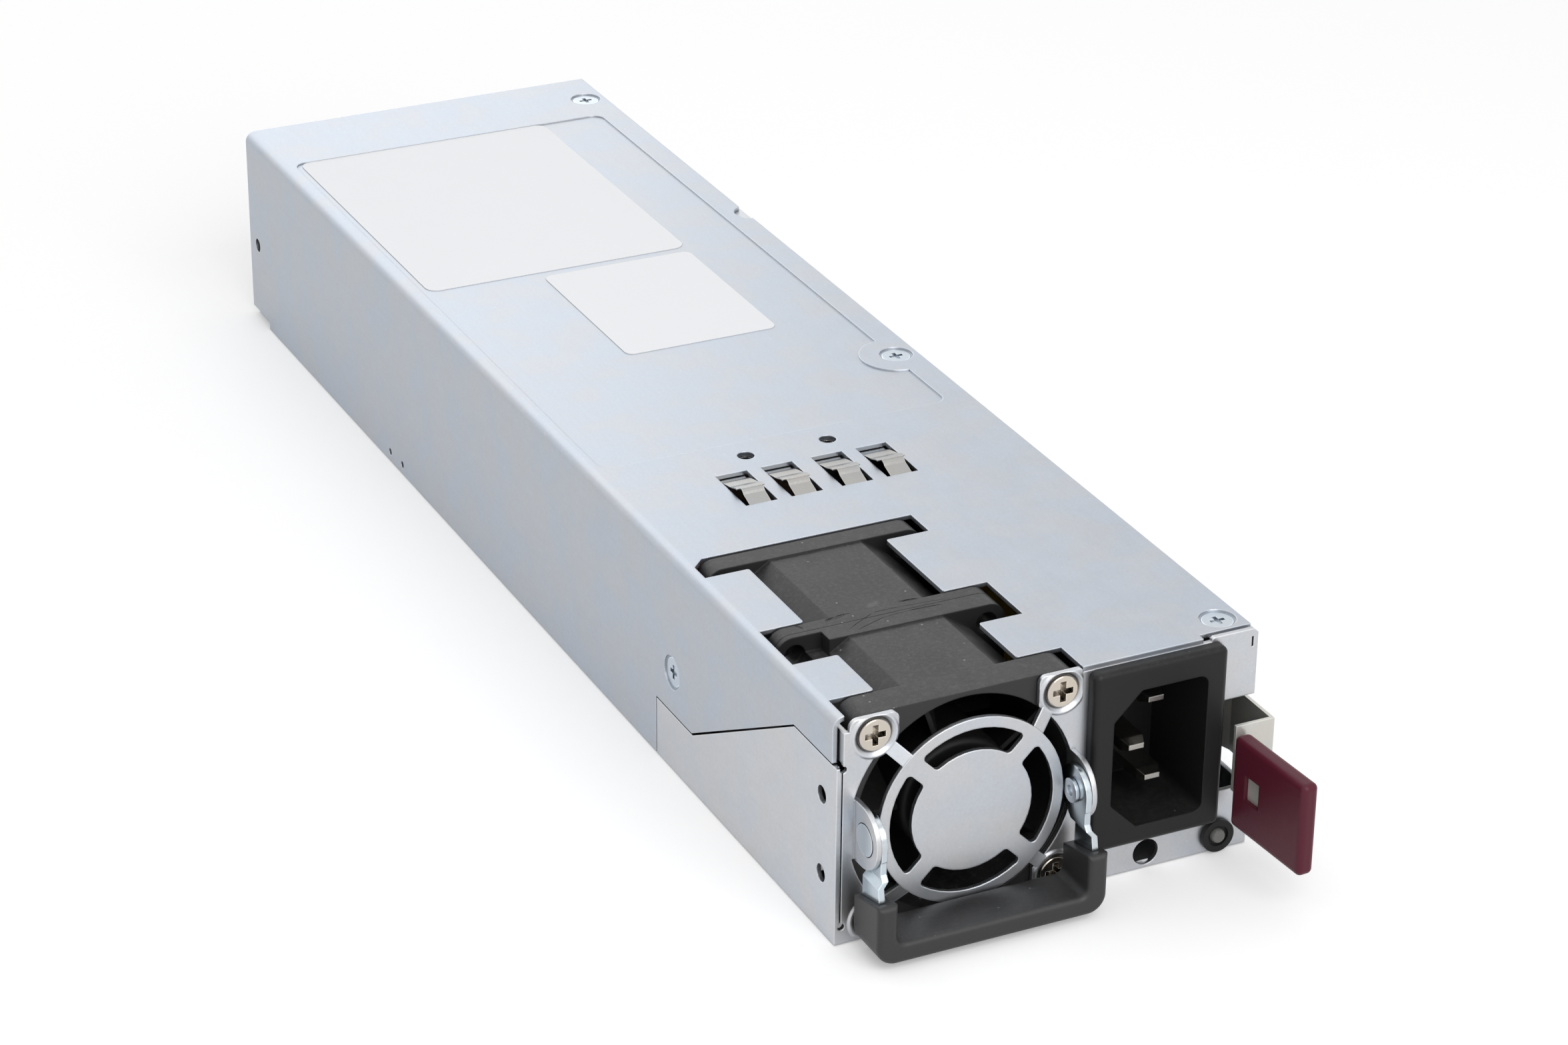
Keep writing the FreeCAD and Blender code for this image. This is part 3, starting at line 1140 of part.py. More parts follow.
def build_latch():
    """Moving strip, fixed end, rivets and release tab."""
    thick = size("latch_gauge")
    core_reach = size("tab_long") * 0.65
    tip_right = leaned(core_left, fold_front, core_reach, thick)
    tip_left = leaned(core_left, fold_front, core_reach, 0.0 * thick)
    low, high = size("latch_bottom"), size("latch_top")
    strip = padded("latch_strip_form", "Z", [
        (strip_out, root_y - 0.3), (strip_out, front + 17.6), (catch_out, front + 8.7), (catch_out, fold_front),
        (core_left, fold_front), (core_left, fold_back), (catch_in, fold_back), (catch_in, front + 8.4),
        (strip_in, front + 17.3), (strip_in, root_y - 0.3)], low, high)
    core = padded("latch_core", "Z", [
        (core_left, fold_back), (core_left, fold_front), tip_left, tip_right,
        (core_left + thick, fold_front), (core_left + thick, fold_back)], low, high - 4.0)
    strip = node(fuse("latch_strip", [strip, core]), "latch_spring")
    long, wide = size("tab_long"), size("tab_thick")
    corner = leaned(tab_left, tab_back, long, 0.0 * wide)
    far = leaned(tab_left, tab_back, long, wide)
    lean = math.radians(float(size("tab_lean")))
    foot = tab_left + wide / math.cos(lean)
    tab = padded("tab_form", "Z", [(tab_left, tab_back), corner, far, (foot, tab_back)],
                 size("tab_bottom"), size("tab_bottom") + size("tab_tall"))
    tab = rounded("tab_soft", tab, size("tab_edge_radius"), lambda edge: True)
    window_y = front - size("tab_window_back")
    window = block("tab_window", (tab_left - beyond, core_left + thick),
                   (window_y - size("tab_window_long"), window_y),
                   (size("tab_window_low"), size("tab_window_low") + size("tab_window_tall")))
    node(cut("tab_moulding", tab, [core, window]), "release_tab")
    rows = latch_rivet_rows()
    anchor = block("latch_anchor_plate", (strip_in, strip_out),
                   (root_y, root_y + size("latch_anchor_length")), (low, high))
    rivets = []
    holes = []
    for index, y in enumerate(rows):
        shank = rod(f"latch_rivet_shank_{index}", "X", 1.45, (strip_in - 0.2, y, latch_z), right - strip_in + 0.2)
        head = rod(f"latch_rivet_head_{index}", "X", 2.6, (strip_in - 0.8, y, latch_z), 0.8)
        rivets.append(fuse(f"latch_rivet_{index}", [head, shank]))
        holes.append(rod(f"anchor_hole_{index}", "X", 1.5, (strip_in - 0.5, y, latch_z), thick + 1.0))
    node(cut("latch_anchor_drilled", anchor, holes), "latch_anchor")
    node(collect("latch_rivet_pair", rivets), "latch_rivets")


# Fans: the front one turns one way, the rear one the other

def flange_plate(name, low, high):
    """A fan flange: a rectangle with rounded corners round the fan axis."""
    corners = [(fan_x + sx * fan_half_wide, fan_z + sz * fan_half_tall)
               for sx, sz in ((-1, -1), (1, -1), (1, 1), (-1, 1))]
    return padded(name, "Y", corners, low, high, rounds=[((0, 1, 2, 3), size("fan_corner_radius"))])


def duct_body(name, low, high):
    """The duct between the flanges: four flats with two slopes at each corner."""
    side = fan_half_tall - size("duct_drop")
    flat = size("duct_flat_half")
    run = flat + size("duct_shoulder_run")
    fall = side - size("duct_shoulder_fall")
    quarter = [(side, -flat), (side, flat), (fall, run), (run, fall)]
    outline = []
    for turn in range(4):
        for a, b in quarter:
            for step in range(turn):
                a, b = -b, a
            outline.append((fan_x + a, fan_z + b))
    return padded(name, "Y", outline, low, high)


def build_fan(label, start, end, hub_at_end, blade_count, first_flange):
    """Frame with motor hub, impeller, shaft, bearings and stator of one fan."""
    flange = size("flange_depth")
    pieces = [
        flange_plate(f"{label}_front_flange", start, start + first_flange),
        flange_plate(f"{label}_rear_flange", end - flange, end),
        duct_body(f"{label}_duct", start, end),
    ]
    body = fuse(f"{label}_body", pieces)
    tools = [rod(f"{label}_bore", "Y", fan_bore, (fan_x, start - 1.0, fan_z), end - start + 2.0)]
    if hub_at_end:
        notch = (fan_x - fan_half_wide - 1.0, fan_x - fan_half_wide + size("wire_notch_wide"))
        tools.append(block(f"{label}_wire_notch", notch,
                           (end - flange - 1.0, end - flange + size("wire_notch_deep")),
                           (fan_z + fan_half_tall - size("fan_corner_radius"), fan_z + fan_half_tall + 1.0)))
    for index, (x, z) in enumerate(fan_screw_places):
        tools.append(rod(f"{label}_screw_hole_{index}", "Y", size("fan_screw_radius") + running,
                         (x, start - 1.0, z), end - start + 2.0))
    hollow = cut(f"{label}_hollow", body, tools)
    plate = 1.6
    if hub_at_end:
        base = (end - plate, end)
        tube = (end - plate - 11.0, end)
    else:
        base = (start, start + plate)
        tube = (start, start + plate + 11.0)
    tube_radius = size("shaft_radius") + 2.2
    hub = [
        rod(f"{label}_base", "Y", size("impeller_hub_radius") - 0.6, (fan_x, base[0], fan_z), base[1] - base[0]),
        rod(f"{label}_tube", "Y", tube_radius, (fan_x, tube[0], fan_z), tube[1] - tube[0]),
    ]
    reach = fan_bore + 0.2
    hub.append(block(f"{label}_strut_flat", (fan_x - reach, fan_x + reach), base, (fan_z - 0.9, fan_z + 0.9)))
    hub.append(block(f"{label}_strut_upright", (fan_x - 0.9, fan_x + 0.9), base, (fan_z - reach, fan_z + reach)))
    frame = fuse(f"{label}_frame_whole", [hollow] + hub)
    seat_radius = size("shaft_radius") + 1.4
    seat = rod(f"{label}_bearing_seat", "Y", seat_radius, (fan_x, tube[0] - 1.0, fan_z),
               tube[1] - tube[0] + 2.0)
    node(cut(f"{label}_frame_solid", frame, [seat]), f"{label}_frame")
    bearings = []
    for index, place_at in enumerate((tube[0] + 0.4, tube[1] - 3.4)):
        outer = rod(f"{label}_bearing_outer_{index}", "Y", seat_radius, (fan_x, place_at, fan_z), 3.0)
        inner = rod(f"{label}_bearing_bore_{index}", "Y", size("shaft_radius") + running,
                    (fan_x, place_at - 0.5, fan_z), 4.0)
        bearings.append(cut(f"{label}_bearing_{index}", outer, [inner]))
    node(collect(f"{label}_bearing_pair", bearings), f"{label}_bearings")
    stator_low = base[0] - 7.0 if hub_at_end else base[1] + 2.0
    stator = rod(f"{label}_stator_stack", "Y", size("impeller_hub_radius") - 2.2, (fan_x, stator_low, fan_z), 5.0)
    stator_bore = rod(f"{label}_stator_bore", "Y", tube_radius, (fan_x, stator_low - 1.0, fan_z), 7.0)
    node(cut(f"{label}_stator_solid", stator, [stator_bore]), f"{label}_stator")
    build_impeller(label, start, end, hub_at_end, blade_count, plate)


def build_impeller(label, start, end, hub_at_end, blade_count, plate):
    """Cup shaped hub with twisted blades, and its shaft."""
    hub_radius = size("impeller_hub_radius")
    cap = 1.4
    if hub_at_end:
        low, high = start + 1.6, end - plate - 0.6
        shaft_low, shaft_high = low + 0.5, end - 0.6
        cavity_low = low + cap
    else:
        low, high = start + plate + 0.6, end - 1.6
        shaft_low, shaft_high = start + 0.6, high - 0.5
        cavity_low = low - 1.0
    cup = rod(f"{label}_cup", "Y", hub_radius, (fan_x, low, fan_z), high - low)
    cap_y = float(low) if hub_at_end else float(high)
    soft = rounded(f"{label}_cup_soft", cup, 1.0, lambda edge: abs(edge.BoundBox.YMin - cap_y) < 1e-4
                   and abs(edge.BoundBox.YMax - cap_y) < 1e-4)
    cavity = rod(f"{label}_cavity", "Y", hub_radius - 1.4, (fan_x, cavity_low, fan_z), high - low - cap + 1.0)
    socket = rod(f"{label}_shaft_socket", "Y", size("shaft_radius"), (fan_x, shaft_low, fan_z),
                 shaft_high - shaft_low)
    hub = cut(f"{label}_hub", soft, [cavity, socket])
    turn = 1 if hub_at_end else -1
    tip_radius = fan_bore - size("blade_tip_gap")
    swept = blade_solid(float(low) + 0.9, float(high) - 0.9, turn, float(hub_radius), float(tip_radius))
    blades = []
    count = int(float(blade_count))
    fan_axis = FreeCAD.Vector(float(fan_x), 0, float(fan_z))
    for index in range(count):
        turned = FreeCAD.Rotation(FreeCAD.Vector(0, 1, 0), 360.0 * index / count)
        placement = FreeCAD.Placement(FreeCAD.Vector(), turned, fan_axis)
        blades.append(code_solid(f"{label}_blade_{index}", swept, placement))
    node(fuse(f"{label}_wheel", [hub] + blades), f"{label}_impeller")
    node(rod(f"{label}_spindle", "Y", size("shaft_radius"), (fan_x, shaft_low, fan_z),
             shaft_high - shaft_low), f"{label}_shaft")


def blade_solid(low, high, turn, hub_radius, tip_radius):
    """A blade lofted from a steep section at the hub to a flat one at the tip."""
    sections = []
    half = (high - low) / 2
    middle = (high + low) / 2
    thick = float(size("blade_thickness"))
    reaches = ((hub_radius - 1.1, half * 0.95, 3.0), ((hub_radius + tip_radius) / 2, half * 0.96, 4.8),
               (tip_radius + 0.8, half * 0.88, 6.4))
    for radius, deep, sideways in reaches:
        points = []
        for sign in (1, -1):
            for step in (-1.0, 0.0, 1.0):
                along = step * sign
                bow = (1 - along * along) * 0.9
                points.append(FreeCAD.Vector(
                    float(fan_x) + turn * (along * sideways + bow) + sign * thick / 2,
                    middle + along * deep,
                    float(fan_z) + radius))
        sections.append(Part.makePolygon(points + [points[0]]))
    loft = Part.makeLoft(sections, True, True)
    sleeve = Part.makeCylinder(tip_radius, high - low + 4, FreeCAD.Vector(float(fan_x), low - 2, float(fan_z)),
                               FreeCAD.Vector(0, 1, 0))
    return loft.common(sleeve).Solids[0]


# Earthing fingers under the lid

def build_fingers():
    """A strip under the lid that carries the four bowed fingers."""
    thick = size("finger_gauge")
    centres = finger_centres()
    half = size("finger_wide") / 2
    hinge_y = window_back + 0.6
    strip = block("finger_strip_plate", (centres[0] - half - 3.0, centres[-1] + half + 3.0),
                  (hinge_y + 0.3, hinge_y + 8.0), (under_lid - 0.1 - thick, under_lid - 0.1))
    holes = [rod(f"strip_hole_{index}", "Z", 1.3, (x, y, under_lid - 2.0), 3.0 + 0.0 * thick)
             for index, (x, y) in enumerate(strip_hole_places)]
    node(cut("finger_strip_drilled", strip, holes), "finger_strip")
    crest = top + size("finger_rise")
    base = under_lid - 0.15
    bend = window_back - size("finger_bend")
    upper = [
        (hinge_y, base), (bend, base), (bend - 0.5, crest - 0.6), (bend - 1.1, crest - 0.1), (bend - 1.8, crest),
        (bend - 3.0, crest - 0.05), (bend - 4.2, crest - 0.3), (window_front + 0.4, top - 0.5),
    ]
    lower = [(y, z - thick) for y, z in upper]
    for index, shift in ((1, 0.25), (2, 0.25), (3, 0.1)):
        lower[index] = (lower[index][0] - shift, lower[index][1])
    outline = upper + lower[::-1]
    for index, x in enumerate(centres):
        node(padded(f"finger_{index}_form", "X", outline, x - half, x + half), f"spring_finger_{index + 1}")


# Converter board and what stands on it

board_low = size("board_height")
board_high = board_low + size("board_gauge")
board_left = inner_left + 0.7
board_right = strip_in - 2.0
board_start = front + size("board_front")
filter_start = front + 30.0
standoff_places = [
    (board_left + 4.5, board_start + 6.0), (board_right - 4.5, filter_start + 5.0),
    (board_left + 4.5, back - 12.0), (board_right - 4.5, back - 12.0),
    (board_right - 4.5, front + size("middle_standoff_back")),
]


def build_board():
    """The main board with its card edge, standoffs, screws and insulation."""
    fan_side = fan_x + fan_half_wide + 2.7
    half = size("tongue_wide") / 2
    tip = back + size("tongue_long")
    inside = back - gauge - 1.2
    outline = [
        (board_left, board_start), (fan_side, board_start), (fan_side, filter_start), (board_right, filter_start),
        (board_right, inside), (half, inside), (half, tip), (-half, tip), (-half, inside), (board_left, inside),
    ]
    plate = padded("board_plate", "Z", outline, board_low, board_high)
    holes = [rod(f"board_hole_{index}", "Z", 1.6, (x, y, board_low - 1.0), 4.0 + 0.0 * gauge)
             for index, (x, y) in enumerate(standoff_places)]
    node(cut("board_drilled", plate, holes), "main_board")
    posts = [rod(f"standoff_{index}", "Z", 2.6, (x, y, gauge), board_low - gauge)
             for index, (x, y) in enumerate(standoff_places)]
    node(collect("standoff_set", posts), "board_standoffs")
    screws = []
    for index, (x, y) in enumerate(standoff_places):
        head = rod(f"board_screw_head_{index}", "Z", 2.7, (x, y, board_high), 1.6)
        shank = rod(f"board_screw_shank_{index}", "Z", 1.5, (x, y, board_low), board_high - board_low)
        screws.append(fuse(f"board_screw_{index}", [head, shank]))
    node(collect("board_screw_set", screws), "board_screws")
    film = block("film_plate", (board_left, board_right), (board_start + 0.5, inside), (gauge, gauge + 0.3))
    clear = [rod(f"film_hole_{index}", "Z", 3.2, (x, y, gauge - 0.5), 1.5)
             for index, (x, y) in enumerate(standoff_places)]
    node(cut("film_cut", film, clear), "insulating_sheet")
    pads = []
    pitch = size("contact_pitch")
    count = int(float(size("contact_count")))
    for index in range(count):
        x = pitch * (index - (count - 1) / 2)
        for side, z in (("upper", (board_high, board_high + 0.1)), ("lower", (board_low - 0.1, board_low))):
            pads.append(block(f"{side}_contact_{index}", (x - pitch * 0.35, x + pitch * 0.35),
                              (back + 0.8, tip - 0.6), z))
    node(collect("edge_contact_set", pads), "edge_contacts")


def can_lying(label, x, y, radius, long):
    """A capacitor can that lies along the board in Y."""
    z = board_high + radius
    can = rod(f"{label}_can", "Y", radius, (x, y, z), long)
    return rounded(f"{label}_soft", can, size("bulk_can_round"), lambda edge: edge.BoundBox.YLength < 1e-6)


def ring_core(label, axis, place_at, outer, inner, deep):
    """A wound ring: a tube with rounded rims."""
    body = rod(f"{label}_outer", axis, outer, place_at, deep)
    start = list(place_at)
    slot = {"X": 0, "Y": 1, "Z": 2}[axis]
    start[slot] = start[slot] - 1.0
    hole = rod(f"{label}_hole", axis, inner, tuple(start), deep + 2.0)
    return cut(f"{label}_ring", body, [hole])


def build_power_parts():
    """Filter, rectifier, storage, transformer, output and control parts."""
    z = board_high
    head = top - size("sink_head_gap")
    build_filter(z)
    wall = board_start + size("rectifier_plate_back")
    plate_left = left + size("sink_side_gap")
    plate_right = plate_left + size("rectifier_plate_wide")
    plate_back = wall + size("rectifier_plate_gauge")
    node(block("rectifier_plate", (plate_left, plate_right), (wall, plate_back), (z, head)), "rectifier_heatsink")
    body_right = plate_right - size("rectifier_plate_gauge")
    body_low = z + size("part_lift")
    node(block("rectifier_body", (body_right - size("rectifier_wide"), body_right),
               (wall - size("package_thick"), wall), (body_low, body_low + size("rectifier_tall"))),
         "bridge_rectifier")
    can_start = plate_back + size("stage_gap")
    can_radius = (head - z) / 2
    pitch = can_radius * 2 + size("bulk_can_gap")
    cans = [can_lying(f"bulk_{index}", left + size("bulk_can_from_left") + pitch * index, can_start,
                      can_radius, size("bulk_can_long")) for index in range(2)]
    node(collect("bulk_can_pair", cans), "bulk_capacitors")
    power_start = can_start + size("bulk_can_long") + size("stage_gap")
    build_primary(z, head, power_start)
    output_start = power_start + size("primary_sink_long") + size("stage_gap")
    build_output(z, head, output_start)


def build_filter(z):
    """Fuse, capacitors and chokes of the input filter, and the input relay."""
    fuse_x = fan_x + fan_half_wide + size("fuse_beside_fan")
    radius = size("fuse_radius")
    fuse_start = filter_start + 3.0
    node(rod("fuse_tube", "Y", radius, (fuse_x, fuse_start, z + radius + 0.2), size("fuse_long")), "input_fuse")
    box_left = fuse_x + radius + size("part_lift")
    box_start = fuse_start + 6.0
    long = size("filter_box_long")
    blocks = []
    for index in range(2):
        y = box_start + (long + 2.0) * index
        tall = size("filter_box_tall") - size("filter_box_step") * index
        blocks.append(block(f"filter_box_{index}", (box_left, box_left + size("filter_box_wide")),
                            (y, y + long), (z, z + tall)))
    node(collect("filter_box_pair", blocks), "filter_capacitors")
    choke_x = left + size("choke_from_left")
    choke_y = board_start + size("choke_back")
    chokes = [ring_core(f"filter_choke_{index}", "Z", (choke_x + size("choke_pitch") * index, choke_y, z),
                        size("choke_radius"), size("choke_bore"), size("choke_tall")) for index in range(2)]
    node(collect("filter_choke_pair", chokes), "filter_chokes")
    relay_right = board_right - 1.0
    relay_y = board_start + size("relay_back")
    node(block("relay_box", (relay_right - size("relay_wide"), relay_right),
               (relay_y, relay_y + size("relay_long")), (z, z + size("relay_tall"))), "input_relay")


def build_primary(z, head, start):
    """Primary heatsink with its transistors, both transformers and the control board."""
    fin = size("fin_gauge")
    sink_left = left + size("sink_side_gap") + 1.0
    face = sink_left + size("sink_gauge")
    long = size("primary_sink_long")
    low = z + size("part_lift")
    fin_low = low + size("package_tall") + size("fin_lift")
    primary = [block("primary_sink_web", (sink_left, face), (start, start + long), (z, head))]
    for index in range(8):
        y = start + size("fin_pitch") * index
        primary.append(block(f"primary_sink_fin_{index}", (sink_left, face + size("fin_deep")), (y, y + fin),
                             (fin_low, head)))
    node(fuse("primary_sink", primary), "primary_heatsink")
    switches = []
    for index in range(3):
        y = start + 3.0 + size("package_pitch") * index
        switches.append(block(f"primary_switch_{index}", (face, face + size("package_thick")),
                              (y, y + size("package_wide")), (low, low + size("package_tall"))))
    node(collect("primary_switch_set", switches), "primary_transistors")
    core_left = left + size("transformer_from_left")
    core_right = core_left + size("transformer_wide")
    core_front = start + 2.0
    core_back = core_front + size("transformer_long")
    tall = size("transformer_tall")
    yoke = size("transformer_yoke")
    leg = size("transformer_leg")
    core = block("transformer_block", (core_left, core_right), (core_front, core_back), (z, z + tall))
    way_long = (size("transformer_long") - yoke * 2 - leg) / 2
    ways = []
    for index in range(2):
        y = core_front + yoke + (way_long + leg) * index
        ways.append(block(f"transformer_way_{index}", (core_left - 1.0, core_right + 1.0), (y, y + way_long),
                          (z + yoke, z + tall - yoke)))
    node(cut("transformer_shell", core, ways), "transformer_core")
    gap = size("winding_gap")
    proud = size("winding_proud")
    coil = block("transformer_coil", (core_left - proud, core_right + proud),
                 (core_front + yoke + gap, core_back - yoke - gap), (z + yoke + gap, z + tall - yoke - gap))
    middle = core_front + yoke + way_long
    post = block("transformer_post", (core_left - gap, core_right + gap), (middle - gap, middle + leg + gap),
                 (z, z + tall))
    node(cut("transformer_coil_cut", coil, [post]), "transformer_winding")
    standby_right = right - size("standby_from_right")
    square = size("standby_size")
    node(block("standby_core", (standby_right - square, standby_right), (start + 3.0, start + 3.0 + square),
               (z, z + size("standby_tall"))), "standby_transformer")
    control_y = start + square + 5.0
    control_right = right - size("control_from_right")
    node(block("control_plate", (control_right - size("board_gauge"), control_right),
               (control_y, control_y + size("control_long")), (z, z + size("control_tall"))), "control_board")


def build_output(z, head, start):
    """Output heatsink with its transistors, the output capacitors and the output inductor."""
    sink_left = left + size("sink_side_gap") + 3.0
    sink_gauge = size("sink_gauge")
    fin = size("fin_gauge")
    low = z + 0.4
    fin_low = low + size("output_package_tall") + size("fin_lift")
    output = [block("output_sink_web", (sink_left, sink_left + size("output_sink_wide")),
                    (start, start + sink_gauge), (z, head))]
    for index in range(10):
        x = sink_left + size("output_fin_pitch") * index
        output.append(block(f"output_sink_fin_{index}", (x, x + fin),
                            (start, start + sink_gauge + size("output_fin_deep")),
                            (fin_low, head)))
    node(fuse("output_sink", output), "output_heatsink")
    face = start + sink_gauge
    rectifiers = []
    for index in range(4):
        x = sink_left + 2.0 + size("output_package_pitch") * index
        rectifiers.append(block(f"output_switch_{index}", (x, x + size("package_wide")),
                                (face, face + size("package_thick")),
                                (low, low + size("output_package_tall"))))
    node(collect("output_switch_set", rectifiers), "output_transistors")
    cans_start = face + size("output_fin_deep") + size("output_can_radius") + 1.5
    pitch = size("output_can_pitch")
    small = []
    for index in range(8):
        x = left + 12.0 + pitch * (index % 4)
        y = cans_start + (pitch - 0.5) * (index // 4)
        small.append(rod(f"output_can_{index}", "Z", size("output_can_radius"), (x, y, z),
                         size("output_can_tall")))
    node(collect("output_can_set", small), "output_capacitors")
    ring = size("output_ring_radius")
    ring_right = board_right - 2.0
    thick = size("output_ring_thick")
    node(ring_core("output_ring", "X", (ring_right - thick, cans_start + ring, z + ring + 0.3),
                   ring, size("output_ring_bore"), thick), "output_inductor")


finish_chassis()
build_cover()
build_inlet()
build_lamp()
build_fasteners()
build_rivets()
build_handle()
build_latch()
build_fan("front_fan", front_fan_start, front_fan_end, True, size("front_blade_count"),
          size("first_flange_depth"))
build_fan("rear_fan", rear_fan_start, rear_fan_end, False, size("rear_blade_count"),
          size("joint_flange_depth"))
build_fingers()
build_board()
build_power_parts()

doc.recompute()
failed = [item.Name for item in doc.Objects if "Invalid" in item.State or "Error" in item.State]
failed += [item.Label for item in nodes if item.Shape.isNull() or not item.Shape.isValid()]
if failed:
    raise SystemExit("failed objects: " + ", ".join(failed))

os.makedirs("parts", exist_ok=True)
for item in nodes:
    item.Shape.exportStep(f"parts/{item.Label}.step")
print(len(nodes), "sub-parts written")
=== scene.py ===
import json
import math

import bmesh
import bpy
from mathutils import Matrix, Vector


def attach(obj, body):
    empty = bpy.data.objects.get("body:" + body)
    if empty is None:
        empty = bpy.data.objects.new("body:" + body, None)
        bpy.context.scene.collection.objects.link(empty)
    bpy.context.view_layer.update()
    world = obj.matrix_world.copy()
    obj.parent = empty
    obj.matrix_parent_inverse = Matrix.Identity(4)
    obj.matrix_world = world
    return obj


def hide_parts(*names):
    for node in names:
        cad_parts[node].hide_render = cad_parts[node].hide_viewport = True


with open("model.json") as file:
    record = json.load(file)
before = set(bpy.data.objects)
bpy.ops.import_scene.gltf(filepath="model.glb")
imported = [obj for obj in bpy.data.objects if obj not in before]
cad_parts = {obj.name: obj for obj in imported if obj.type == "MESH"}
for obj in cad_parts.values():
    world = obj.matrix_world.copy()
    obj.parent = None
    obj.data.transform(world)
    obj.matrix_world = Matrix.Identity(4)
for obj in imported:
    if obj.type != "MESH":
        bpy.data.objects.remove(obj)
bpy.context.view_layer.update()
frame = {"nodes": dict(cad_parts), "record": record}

nodes = frame["nodes"]

# The case, in millimetres: its left and front faces, the top of the lid, and the recess for the labels.
MM = 0.001
LEFT = -36.75
FRONT = -132.5
LID = 39.0
LABEL_RECESS = 0.25


def at(from_left, from_front, height):
    """A point given in millimetres from the case's left, front and bottom faces."""
    return Vector(((LEFT + from_left) * MM, (FRONT + from_front) * MM, height * MM))


# Shader building

# Sockets of a Mix node that blends two colours.
MIX_FIRST, MIX_SECOND, MIX_RESULT = 6, 7, 2


def new_tree(material):
    """The material's nodes, cleared, with its output node."""
    material.use_nodes = True
    tree = material.node_tree
    tree.nodes.clear()
    output = tree.nodes.new("ShaderNodeOutputMaterial")
    return tree, output


def group_with(name, inputs, outputs):
    """A node group with named value and colour sockets, and its two end nodes."""
    group = bpy.data.node_groups.new(name, "ShaderNodeTree")
    kinds = {"value": "NodeSocketFloat", "colour": "NodeSocketColor"}
    for label, kind, default in inputs:
        socket = group.interface.new_socket(name=label, in_out="INPUT", socket_type=kinds[kind])
        socket.default_value = default
    for label, kind in outputs:
        group.interface.new_socket(name=label, in_out="OUTPUT", socket_type=kinds[kind])
    entry = group.nodes.new("NodeGroupInput")
    leave = group.nodes.new("NodeGroupOutput")
    return group, entry, leave


def object_coordinates(tree):
    """Places on the piece, in metres."""
    return tree.nodes.new("ShaderNodeTexCoord").outputs["Object"]


def ramp(tree, source, stops):
    """A grey ramp fed by a value, from stops of place and level."""
    node = tree.nodes.new("ShaderNodeValToRGB")
    tree.links.new(source, node.inputs["Fac"])
    elements = node.color_ramp.elements
    for element, (place, level) in zip(elements, stops):
        element.position = place
        element.color = (level, level, level, 1.0)
    return node.outputs["Color"]


def put(tree, item, socket):
    """Feeds an input from another socket, or sets it where the item is a plain value."""
    if isinstance(item, bpy.types.NodeSocket):
        tree.links.new(item, socket)
    else:
        socket.default_value = item


def maths(tree, kind, first, second):
    """A math node on two values or sockets."""
    node = tree.nodes.new("ShaderNodeMath")
    node.operation = kind
    put(tree, first, node.inputs[0])
    put(tree, second, node.inputs[1])
    return node.outputs[0]


def weighted_sum(tree, start, parts):
    """A start value plus sockets, each times its weight."""
    total = start
    for socket, weight in parts:
        total = maths(tree, "ADD", total, maths(tree, "MULTIPLY", socket, weight))
    return total


def centred(tree, value):
    """A value from 0 to 1 moved to lie about zero."""
    return maths(tree, "SUBTRACT", value, 0.5)


def vector_maths(tree, kind, first, second=None):
    """A vector math node on one or two sockets."""
    node = tree.nodes.new("ShaderNodeVectorMath")
    node.operation = kind
    tree.links.new(first, node.inputs[0])
    if second is not None:
        tree.links.new(second, node.inputs["Scale" if kind == "SCALE" else 1])
    return node.outputs["Value" if kind in ("DOT_PRODUCT", "LENGTH") else "Vector"]


def blend(tree, amount, first, second):
    """A mix of two colours, each a value or a socket."""
    node = tree.nodes.new("ShaderNodeMix")
    node.data_type = "RGBA"
    tree.links.new(amount, node.inputs["Factor"])
    put(tree, first, node.inputs[MIX_FIRST])
    put(tree, second, node.inputs[MIX_SECOND])
    return node.outputs[MIX_RESULT]


def noise(tree, vector, scale, detail=2.0, roughness=0.5, distortion=0.0):
    """A noise texture on the given coordinates."""
    node = tree.nodes.new("ShaderNodeTexNoise")
    put(tree, scale, node.inputs["Scale"])
    node.inputs["Detail"].default_value = detail
    node.inputs["Roughness"].default_value = roughness
    node.inputs["Distortion"].default_value = distortion
    tree.links.new(vector, node.inputs["Vector"])
    return node.outputs["Fac"]


def spots(tree, vector, scale):
    """Small round spots, one to a cell, with the cells' own random colours."""
    cells = tree.nodes.new("ShaderNodeTexVoronoi")
    cells.inputs["Scale"].default_value = scale
    tree.links.new(vector, cells.inputs["Vector"])
    return ramp(tree, cells.outputs["Distance"], [(0.05, 1.0), (0.09, 0.0)]), cells.outputs["Color"]


def soft_edges(tree, radius, samples):
    """Normals that turn round the edges as if they were rounded."""
    node = tree.nodes.new("ShaderNodeBevel")
    node.samples = samples
    node.inputs["Radius"].default_value = radius
    return node.outputs["Normal"]


def bumped(tree, height, strength, depth, normal):
    """Normals with a relief laid over them."""
    node = tree.nodes.new("ShaderNodeBump")
    node.inputs["Strength"].default_value = strength
    node.inputs["Distance"].default_value = depth
    tree.links.new(height, node.inputs["Height"])
    tree.links.new(normal, node.inputs["Normal"])
    return node.outputs["Normal"]


